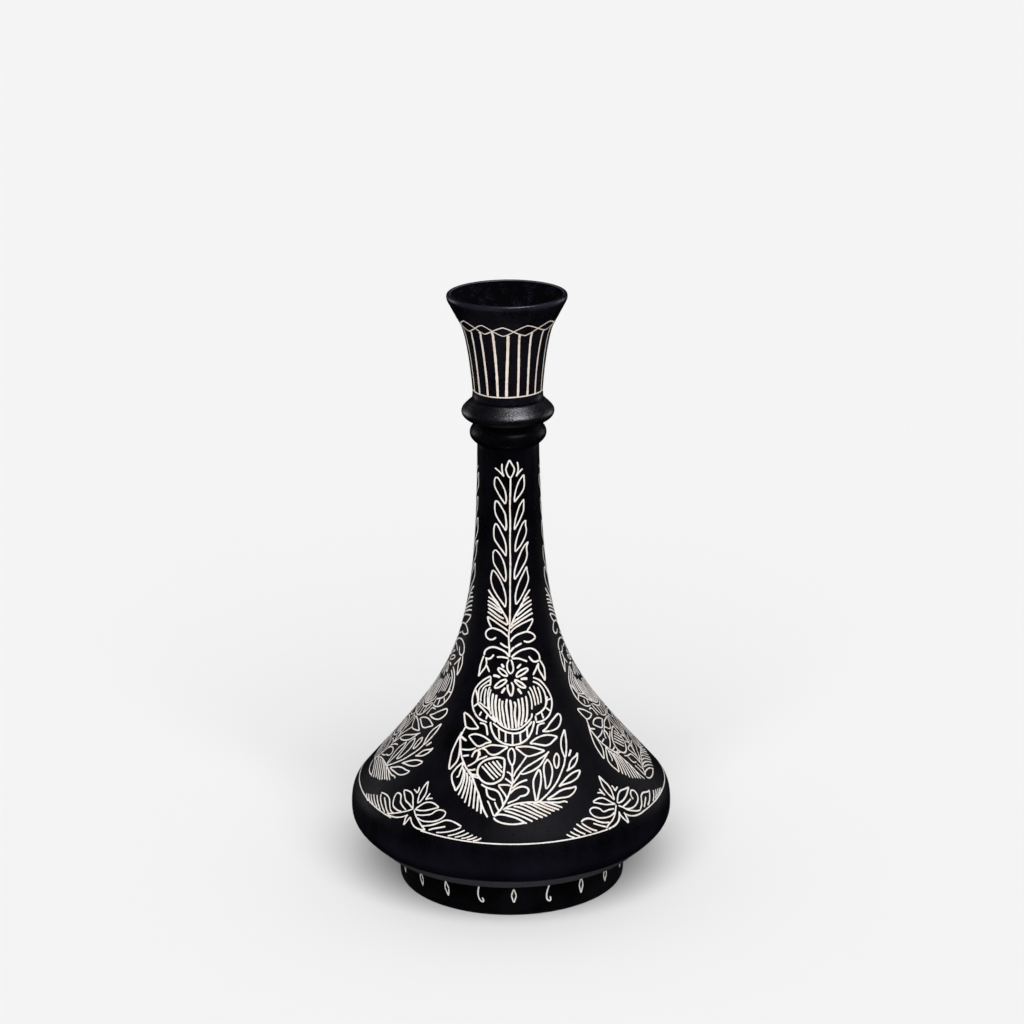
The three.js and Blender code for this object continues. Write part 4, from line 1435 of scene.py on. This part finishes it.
@dataclass
class Foot:
    """The ring that the belly stands on, with a row of lozenges cut into it.

    Attributes:
        outer_low: Its outer radius just over the floor.
        outer_high: Its outer radius at the top.
        inner: Its inner radius.
        height: Its height.
        lozenges: The number of lozenges.
        low: The height of a lozenge's lower point.
        high: The height of its upper point.
        half: Half its width.
        bow: How much further out the middle of a lozenge's side is than on a straight side.
        line_width: The width of its lines.
    """

    outer_low: float = 56.4
    outer_high: float = 57.0
    inner: float = 47.0
    height: float = 17.6
    lozenges: int = 20
    low: float = 4.6
    high: float = 12.6
    half: float = 1.15
    bow: float = 0.16
    line_width: float = 0.75

    def outline(self) -> np.ndarray:
        """The section of the ring: up its outside, over the top, down its inside.

        Returns:
            Radius and height of its points.
        """
        low_out, high_out = (self.outer_low, 0.0), (self.outer_high, self.height)
        high_in, low_in = (self.inner, self.height), (self.inner, 0.0)
        return np.vstack([
            rounded(low_in, low_out, high_out, 1.3),
            straight((self.outer_low + 0.05, 1.4), (self.outer_high, self.height - 0.6), 10),
            rounded(low_out, high_out, high_in, 0.45),
            rounded(high_out, high_in, low_in, 0.5),
            rounded(high_in, low_in, low_out, 1.6),
        ])

    def _lozenge(self, u: float, half: float, low: float, middle: float, high: float) -> list[Stroke]:
        """A lozenge's four sides, each bowed outwards a little.

        Args:
            u: Its middle line.
            half: Half its width.
            low: The height of its lower point.
            middle: The height of its side points.
            high: The height of its upper point.

        Returns:
            One stroke for each side.
        """
        made, corners = [], ((u, high), (u - half, middle), (u, low), (u + half, middle), (u, high))
        for (from_u, from_s), (to_u, to_s) in zip(corners, corners[1:]):
            across = 0.5 * (from_u + to_u)
            bend = (across + self.bow * (across - u), 0.5 * (from_s + to_s))
            made.append(Stroke(((from_u, from_s), bend, (to_u, to_s)), self.line_width))
        return made

    def _hook(self, u: float, low: float, middle: float, high: float) -> list[Stroke]:
        """A lozenge that was left open, as one hooked stroke.

        Args:
            u: Its middle line.
            low: The height of its lowest place.
            middle: The height of its bend.
            high: The height of its upper end.

        Returns:
            The stroke, as a list.
        """
        down = ((u + 0.4, high), (u - 0.5, high - 2.2), (u - 1.1, middle - 0.6), (u - 0.8, low + 1.0))
        back_up = ((u + 0.4, low), (u + 1.0, low + 0.5), (u + 0.7, low + 2.4))
        return [Stroke(down + back_up, self.line_width)]

    def strokes(self) -> list[Stroke]:
        """A ring of lozenges, a little uneven by hand; the two beside the front one are hooks.

        Returns:
            The strokes.
        """
        made, rng = [], np.random.default_rng(4)
        for number in range(self.lozenges):
            u = math.radians(0.7 + 18 * number) * self.outer_high + rng.uniform(-0.35, 0.35)
            half = self.half + rng.uniform(-0.1, 0.15)
            low = self.low + rng.uniform(-0.4, 0.4)
            high = self.high + rng.uniform(-0.4, 0.5)
            middle = 0.5 * (low + high) + rng.uniform(-0.4, 0.4)
            if number in (1, self.lozenges - 1):
                made += self._hook(u, low, middle, high)
            else:
                made += self._lozenge(u, half, low, middle, high)
        return made

    def build(self, finishes: Finishes) -> None:
        """Makes the ring and its filled lozenges.

        Args:
            finishes: The pot's finishes.
        """
        ring = turned("clay_foot", self.outline(), 200)
        finishes.dress(ring, finishes.bare, "bare_clay", "foot_ring")
        wall = Skin(straight((self.outer_low, 0.0), (self.outer_high, self.height), 8), 0.0)
        fills = Drawing("foot_lozenge_lines", wall, self.strokes(), seed=11).build()
        nodes = [f"foot_lozenge_fill_{i + 1}" for i in range(self.lozenges)]
        finishes.dress(fills, finishes.paste, "pale_paste", *nodes)


@dataclass
class Flask:
    """The round belly and the long neck, one hollow body after luting.

    Attributes:
        under_edge: The lower edge of the unrubbed band, as radius and height.
        band_edge: The band's upper edge.
        belly: The widest place.
        turn: Where the quick turn ends and the long ogee starts.
        neck: The neck's top, under the beads.
        spigot: The radius of the thin end that takes the beads and the cup.
        spigot_top: Its height.
        bore: The neck's inner radius.
        bore_foot: The height where the bore starts to widen.
        wall: The belly's wall.
        underside: The height of the bottom's underside, over the foot.
        ledge: The radius where the flat underside ends and slopes up to the band.
        floor: The height of the inside floor.
        sprays: The angle of each spray's middle from the front, in degrees, and its drawing.
    """

    under_edge: Place = (67.2, 20.1)
    band_edge: Place = (73.7, 26.0)
    belly: Place = (80.25, 38.3)
    turn: Place = (77.0, 50.27)
    neck: Place = (15.05, 226.0)
    spigot: float = 13.15
    spigot_top: float = 254.0
    bore: float = 11.0
    bore_foot: float = 205.0
    wall: float = 5.0
    underside: float = 17.9
    ledge: float = 57.6
    floor: float = 23.9
    sprays: tuple[tuple[float, Hand], ...] = (
        (46.0, Hand.RIGHT),
        (134.0, Hand.LEFT),
        (226.0, Hand.RIGHT),
        (318.5, Hand.LEFT),
    )

    def outside(self) -> np.ndarray:
        """The outside from the band's lower edge to the top of the neck.

        Returns:
            Radius and height of its points.
        """
        return np.vstack([
            np.array([self.under_edge]),
            straight(self.under_edge, self.band_edge, 8),
            bezier(self.band_edge, (79.2, 31.1), (self.belly[0], 33.5), self.belly, 16),
            bezier(self.belly, (self.belly[0], 44.3), (79.3, 47.5), self.turn, 14),
            bezier(self.turn, (27.29, 109.19), (16.83, 116.48), self.neck, 130),
        ])

    def outline(self) -> np.ndarray:
        """The whole section: underside, outside, spigot, bore and inside, from pole to pole.

        Returns:
            Radius and height of its points.
        """
        outside = self.outside()
        shelf = self.neck[1] + 0.2
        inner = self.belly[0] - self.wall
        dome, side, base = (73.2, 46.5), (inner, self.belly[1]), (62.0, self.floor)
        return np.vstack([
            np.array([[0.0, self.underside]]),
            straight((0.0, self.underside), (self.ledge, self.underside), 12),
            rounded((self.ledge, self.underside), self.under_edge, self.band_edge, 0.35),
            outside[2:-1],
            rounded(tuple(outside[-8]), (self.neck[0], shelf), (self.spigot, shelf), 0.35),
            rounded(self.neck, (self.spigot, shelf), (self.spigot, 240.0), 0.2, 2),
            straight((self.spigot, 227.0), (self.spigot, self.spigot_top), 3),
            straight((self.spigot, self.spigot_top), (self.bore, self.spigot_top), 1),
            straight((self.bore, self.spigot_top), (self.bore, self.bore_foot), 10),
            bezier((self.bore, self.bore_foot), (12.2, 118.0), (22.5, 106.0), dome, 60),
            bezier(dome, (inner, 43.5), (inner, 41.0), side, 8),
            bezier(side, (inner, 31.0), (70.0, 26.5), base, 12),
            straight(base, (0.0, self.floor), 10),
        ])

    def skin(self) -> Skin:
        """The outside as a skin to draw on, with s = 0 at the widest place."""
        return Skin(self.outside(), self.belly[1])

    def ring_strokes(self) -> list[Stroke]:
        """The line round the top of the belly, in arcs from one spray's root to the next.

        Its height is s = 11.64 - 1.31 cos(2 a) - 0.89 sin(a) at the angle a from the front.

        Returns:
            One stroke for each arc.
        """
        skin, made = self.skin(), []
        root = {Hand.LEFT: (-8.0, 7.0), Hand.RIGHT: (-9.0, 10.5)}
        after = self.sprays[1:] + ((self.sprays[0][0] + 360, self.sprays[0][1]),)
        for (middle, hand), (following, next_hand) in zip(self.sprays, after):
            turn = np.radians(np.linspace(middle + root[hand][1], following + root[next_hand][0], 18))
            s = 11.64 - 1.31 * np.cos(2 * turn) - 0.89 * np.sin(turn)
            made.append(Stroke(tuple(zip(turn * skin.radius(s), s)), 0.64))
        return made

    def build(self, finishes: Finishes) -> None:
        """Makes the body, its ring line, its four panels and its four sprays.

        Args:
            finishes: The pot's finishes.
        """
        body = turned("clay_body", self.outline(), 256)
        finishes.dress(body, finishes.rubbed, "burnished_clay", "belly_bowl", "neck_bell")
        finishes.leave_inside(body, -0.4)
        skin = self.skin()
        ring = Drawing("belly_ring_line", skin, self.ring_strokes(), seed=3).build()
        finishes.dress(ring, finishes.paste, "pale_paste", "belly_ring_fill")
        panel = FlowerPanel().strokes()
        places = (
            Drawing("panel_lines_1", skin, panel, boldness=0.94, seed=21),
            Drawing("panel_lines_2", skin, panel, (79, 86.5, 100), (0, -2.2, -2), 0.94, 0.80, 0.25, 22),
            Drawing("panel_lines_3", skin, panel, (181, 180, 178), boldness=0.94, sway=0.45, seed=23),
            Drawing("panel_lines_4", skin, panel, (-83, -86, -98), (1.5, 0, -1), 0.97, 0.80, 0.25, 24),
        )
        for number, drawing in enumerate(places, 1):
            finishes.dress(drawing.build(), finishes.paste, "pale_paste", f"panel_fill_{number}")
        for number, (middle, hand) in enumerate(self.sprays, 1):
            drawing = Drawing(
                f"spray_lines_{number}",
                skin,
                HeartSpray(hand).strokes(),
                (middle,) * 3,
                boldness=0.78 if hand is Hand.LEFT else 0.9,
                sway=0.0 if number in (1, len(self.sprays)) else 0.3,
                seed=40 + number,
            )
            finishes.dress(drawing.build(), finishes.paste, "pale_paste", f"spray_fill_{number}")


@dataclass
class Bead:
    """A rounded ring on the neck.

    Attributes:
        name: The object's name.
        node: The model node it stands for.
        side: The outline of its outside, from the bottom up.
        hole: The radius of its hole.
    """

    name: str
    node: str
    side: np.ndarray
    hole: float = 13.45

    def build(self, finishes: Finishes, finish: bpy.types.Material) -> None:
        """Makes the bead.

        Args:
            finishes: The pot's finishes.
            finish: The one that the bead gets.
        """
        low, high = self.side[0, 1], self.side[-1, 1]
        hole = straight((self.hole, high), (self.hole, low), 2)
        outline = np.vstack([self.side, [[self.hole, high]], hole])
        finishes.dress(turned(self.name, outline, 192), finish, "burnished_clay", self.node)


@dataclass
class MouthCup:
    """The flared cup at the top, fluted below and with a chain of diamonds above.

    Attributes:
        bottom: The radius and height of its lower edge.
        waist: The narrowest place.
        knee: Where the flare becomes straight.
        shoulder: The top of the straight flare.
        rim: The rim's outer radius.
        height: The whole pot's height.
        flutes: The number of flutes.
        crossings: Where the two waving lines cross, in degrees from the front.
        wave_height: The waving lines' middle height.
        wave_rise: How far they swing.
    """

    bottom: Place = (17.3, 248.7)
    waist: Place = (17.0, 252.0)
    knee: Place = (22.1, 284.8)
    shoulder: Place = (28.6, 297.5)
    rim: float = 29.25
    height: float = 301.0
    flutes: int = 21
    crossings: tuple[float, ...] = (
        -70.6, -39.8, -17.6, 7.2, 38.2, 70.7, 97.5, 125.6, 152.4, 180.5, 207.2, 234.9, 262.1, 289.4
    )
    wave_height: float = 287.6
    wave_rise: float = 2.5

    def outside(self) -> np.ndarray:
        """The outside from the lower edge to the rim.

        Returns:
            Radius and height of its points.
        """
        return np.vstack([
            np.array([self.bottom]),
            straight(self.bottom, self.waist, 3),
            bezier(self.waist, (17.6, 262.0), (19.7, 278.5), self.knee, 26),
            straight(self.knee, self.shoulder, 10),
        ])

    def outline(self) -> np.ndarray:
        """The section: outside, rounded lip, tapering inside and the socket for the neck.

        Returns:
            Radius and height of its points.
        """
        crest, inner_edge = (28.0, self.height), (26.7, 299.4)
        throat, seat, bore, socket = (19.4, 284.4), 254.3, 11.0, 13.45
        lip = bezier(self.shoulder, (self.rim, 298.9), (self.rim + 0.25, 300.9), crest, 14)
        return np.vstack([
            self.outside(),
            lip,
            bezier(crest, (27.1, 301.0), (26.9, 300.5), inner_edge, 8),
            straight(inner_edge, throat, 8),
            bezier(throat, (16.5, 276.0), (13.2, 264.0), (bore, seat), 16),
            straight((bore, seat), (socket, seat), 1),
            straight((socket, seat), (socket, self.bottom[1]), 2),
        ])

    def _swing(self, count: np.ndarray) -> np.ndarray:
        """How far the waving lines stand off their middle: half a sine and half a zigzag."""
        sine = np.sin(np.pi * count)
        return self.wave_rise * (1 + 0.1 * np.sin(2.3 * count)) * (0.45 * sine + 0.35 * np.arcsin(sine))

    def _wave_middle(self, count: np.ndarray) -> np.ndarray:
        """The waving lines' middle height at a count of crossings."""
        return self.wave_height + 0.35 * np.sin(1.7 * count)

    def _lower_wave(self, turn: float) -> float:
        """The height of the lower of the two waving lines.

        Args:
            turn: The angle from -Y, in radians.

        Returns:
            The height.
        """
        degrees = (math.degrees(turn) - self.crossings[0]) % 360 + self.crossings[0]
        count = np.interp(degrees, self.crossings, np.arange(len(self.crossings)))
        return float(self._wave_middle(count) - abs(self._swing(count)))

    def _wave(self, skin: Skin, side: int) -> list[Stroke]:
        """One waving line: its height is the middle height plus a sine of the count of crossings.

        Args:
            skin: The cup's skin.
            side: 1 for the line that starts upwards, -1 for the other.

        Returns:
            The line as one stroke.
        """
        count = np.linspace(0, len(self.crossings) - 1, 12 * (len(self.crossings) - 1) + 1)
        turn = np.radians(np.interp(count, np.arange(len(self.crossings)), self.crossings))
        s = skin.s_at(self._wave_middle(count) + side * self._swing(count))
        return [Stroke(tuple(zip(turn * skin.radius(s), s)), 0.6)]

    def flute_strokes(self, skin: Skin) -> list[Stroke]:
        """The thin ring and the upright flutes that stand on it, a little uneven by hand.

        Args:
            skin: The cup's skin.

        Returns:
            The strokes, the ring first.
        """
        rng = np.random.default_rng(8)
        turn = np.radians(np.arange(-180, 181, 7.5))
        low = float(skin.s_at(253.2))
        radius = float(skin.radius(low))
        made = [Stroke(tuple((t * radius, low + 0.12 * math.sin(3 * t)) for t in turn), 0.62)]
        for number in range(self.flutes):
            foot = math.radians(360 / self.flutes * number - 0.8 + rng.uniform(-1.3, 1.3))
            lean = math.radians(rng.uniform(-1.5, 1.5))
            s = skin.s_at(np.linspace(253.4, self._lower_wave(foot + lean) - rng.uniform(-0.1, 0.4), 12))
            share = np.linspace(0, 1, 12)
            sway = math.radians(0.8) * np.sin(3.5 * share + rng.uniform(0, 6))
            width = 0.92 + 0.35 * max(0.0, math.cos(foot + 0.2)) ** 3 + rng.uniform(-0.1, 0.1)
            made.append(Stroke(tuple(zip((foot + lean * share + sway) * skin.radius(s), s)), width))
        return made

    def build(self, finishes: Finishes) -> None:
        """Makes the cup, its flutes and its diamonds.

        Args:
            finishes: The pot's finishes.
        """
        cup = turned("clay_mouth_cup", self.outline(), 224)
        finishes.dress(cup, finishes.satin, "burnished_clay", "mouth_cup")
        finishes.leave_inside(cup, -0.85)
        skin = Skin(self.outside(), self.bottom[1])
        flutes = Drawing("cup_flute_lines", skin, self.flute_strokes(skin), seed=5).build()
        finishes.dress(flutes, finishes.paste, "pale_paste", "cup_flute_fill")
        both = self._wave(skin, 1) + self._wave(skin, -1)
        waves = Drawing("cup_diamond_lines", skin, both, seed=6).build()
        finishes.dress(waves, finishes.paste, "pale_paste", "cup_diamond_fill")


# ---- Studio --------------------------------------------------------------------------------------------


@dataclass(frozen=True)
class SoftBox:
    """One soft light.

    Attributes:
        name: The light's name.
        place: Where it stands, in metres.
        aim: What it looks at, in metres.
        size: Its width and height, in metres.
        watts: Its power.
    """

    name: str
    place: Spot
    aim: Spot
    size: tuple[float, float]
    watts: float

    def build(self) -> None:
        """Makes the light and turns it towards its aim."""
        lamp = bpy.data.lights.new(self.name, "AREA")
        lamp.shape = "RECTANGLE"
        lamp.size, lamp.size_y = self.size
        lamp.energy, lamp.color = self.watts, (0.93, 0.92, 1.0)
        item = bpy.data.objects.new(self.name, lamp)
        bpy.context.scene.collection.objects.link(item)
        item.location = self.place
        item.visible_diffuse = False
        item.rotation_euler = (Vector(self.aim) - Vector(self.place)).to_track_quat("-Z", "Y").to_euler()


@dataclass(frozen=True)
class Studio:
    """The pale floor, the even light of the room, the soft lights and the camera.

    Attributes:
        room: The strength of the even light.
        sun: The strength of the broad light from the front, which the gloss leaves out.
        sun_from: The direction that it comes from.
        sun_spread: How wide it is, in degrees.
        lights: The soft lights.
        camera_place: The camera's place, in metres.
        camera_pitch: How far below level it looks, in degrees.
        camera_roll: How far it is rolled, in degrees.
        lens: Its focal length, in millimetres.
    """

    room: float = 0.34
    sun: float = 3.4
    sun_from: Spot = (0.05, -0.85, 0.75)
    sun_spread: float = 60.0
    lights: tuple[SoftBox, ...] = (
        SoftBox("key", (0.34, -0.5, 1.2), (0, 0, 0.24), (0.7, 0.4), 18.0),
        SoftBox("left_edge", (-1.3, 0.9, 0.35), (0, 0, 0.1), (0.6, 0.8), 4.0),
        SoftBox("right_edge", (1.3, 0.8, 0.35), (0, 0, 0.1), (0.6, 0.8), 3.6),
    )
    camera_place: Spot = (0.00159, -1.452, 0.677)
    camera_pitch: float = 18.54
    camera_roll: float = -0.458
    lens: float = 110.25

    def build(self) -> None:
        """Makes everything in the room."""
        self._floor()
        self._room_light()
        self._front_light()
        for light in self.lights:
            light.build()
        self._camera()

    def _floor(self) -> None:
        """A broad flat floor under the pot, left out of the pot's own gloss."""
        edge = 9.0
        corners = np.array([[-edge, -edge, 0], [edge, -edge, 0], [edge, edge, 0], [-edge, edge, 0]])
        floor = make_mesh("floor", corners, np.array([[0, 1, 2, 3]]))
        floor.data.materials.append(PaleFloor().make())
        floor.visible_glossy = False

    def _room_light(self) -> None:
        """The same light from every side, left out of the pot's own gloss."""
        world = bpy.data.worlds.new("room")
        world.use_nodes = True
        world.node_tree.nodes["Background"].inputs["Color"].default_value = (1, 1, 1, 1)
        world.node_tree.nodes["Background"].inputs["Strength"].default_value = self.room
        world.cycles_visibility.glossy = False
        bpy.context.scene.world = world
        bpy.context.scene.view_settings.view_transform = "Standard"

    def _front_light(self) -> None:
        """A very broad light from the front, which softens the shadow under the belly."""
        lamp = bpy.data.lights.new("front_light", "SUN")
        lamp.energy, lamp.angle = self.sun, math.radians(self.sun_spread)
        item = bpy.data.objects.new("front_light", lamp)
        bpy.context.scene.collection.objects.link(item)
        item.rotation_euler = (-Vector(self.sun_from)).to_track_quat("-Z", "Y").to_euler()
        item.visible_glossy = False

    def _camera(self) -> None:
        """The camera, in front of the pot and looking a little down on it."""
        data = bpy.data.cameras.new("camera")
        data.lens, data.sensor_width = self.lens, 36.0
        data.clip_start, data.clip_end = 0.05, 60.0
        camera = bpy.data.objects.new("camera", data)
        bpy.context.scene.collection.objects.link(camera)
        tilt = Euler((math.radians(90 - self.camera_pitch), 0, 0)).to_matrix()
        turn = tilt @ Matrix.Rotation(math.radians(self.camera_roll), 3, "Z")
        camera.matrix_world = Matrix.Translation(Vector(self.camera_place)) @ turn.to_4x4()
        bpy.context.scene.camera = camera


def main() -> None:
    """Builds the studio, then the pot from the foot up."""
    logging.basicConfig(level=logging.INFO, format="%(name)s: %(message)s")
    Studio().build()
    finishes = Finishes(
        polished=BurnishedClay("polished_clay", 0.45, 0.00014, smooth=0.32, dull=0.40).make(),
        satin=BurnishedClay("satin_clay", 0.25, 0.00005, dark=0.0016, light=0.0056).make(),
        rubbed=BurnishedClay("rubbed_clay", 0.06, 0.00006, dark=0.0005, light=0.0024).make(),
        unrubbed=UnrubbedClay().make(),
        bare=BareClay().make(),
        paste=PalePaste().make(),
    )
    Foot().build(finishes)
    Flask().build(finishes)
    lower = np.vstack([
        [[15.35, 226.4]],
        bezier((15.35, 226.4), (16.3, 227.4), (18.65, 228.6), (18.65, 231.3), 14),
        bezier((18.65, 231.3), (18.65, 233.8), (16.8, 234.9), (16.2, 235.8), 14),
    ])
    Bead("clay_lower_bead", "lower_bead", lower).build(finishes, finishes.rubbed)
    upper = np.vstack([
        [[16.2, 236.1]],
        straight((16.2, 236.1), (16.8, 236.8), 2),
        bezier((16.8, 236.8), (19.8, 238.6), (22.55, 239.6), (22.55, 242.2), 18),
        bezier((22.55, 242.2), (22.55, 243.7), (20.9, 244.9), (17.3, 248.4), 18),
    ])
    Bead("clay_upper_bead", "upper_bead", upper).build(finishes, finishes.polished)
    MouthCup().build(finishes)


if __name__ == "__main__":
    main()
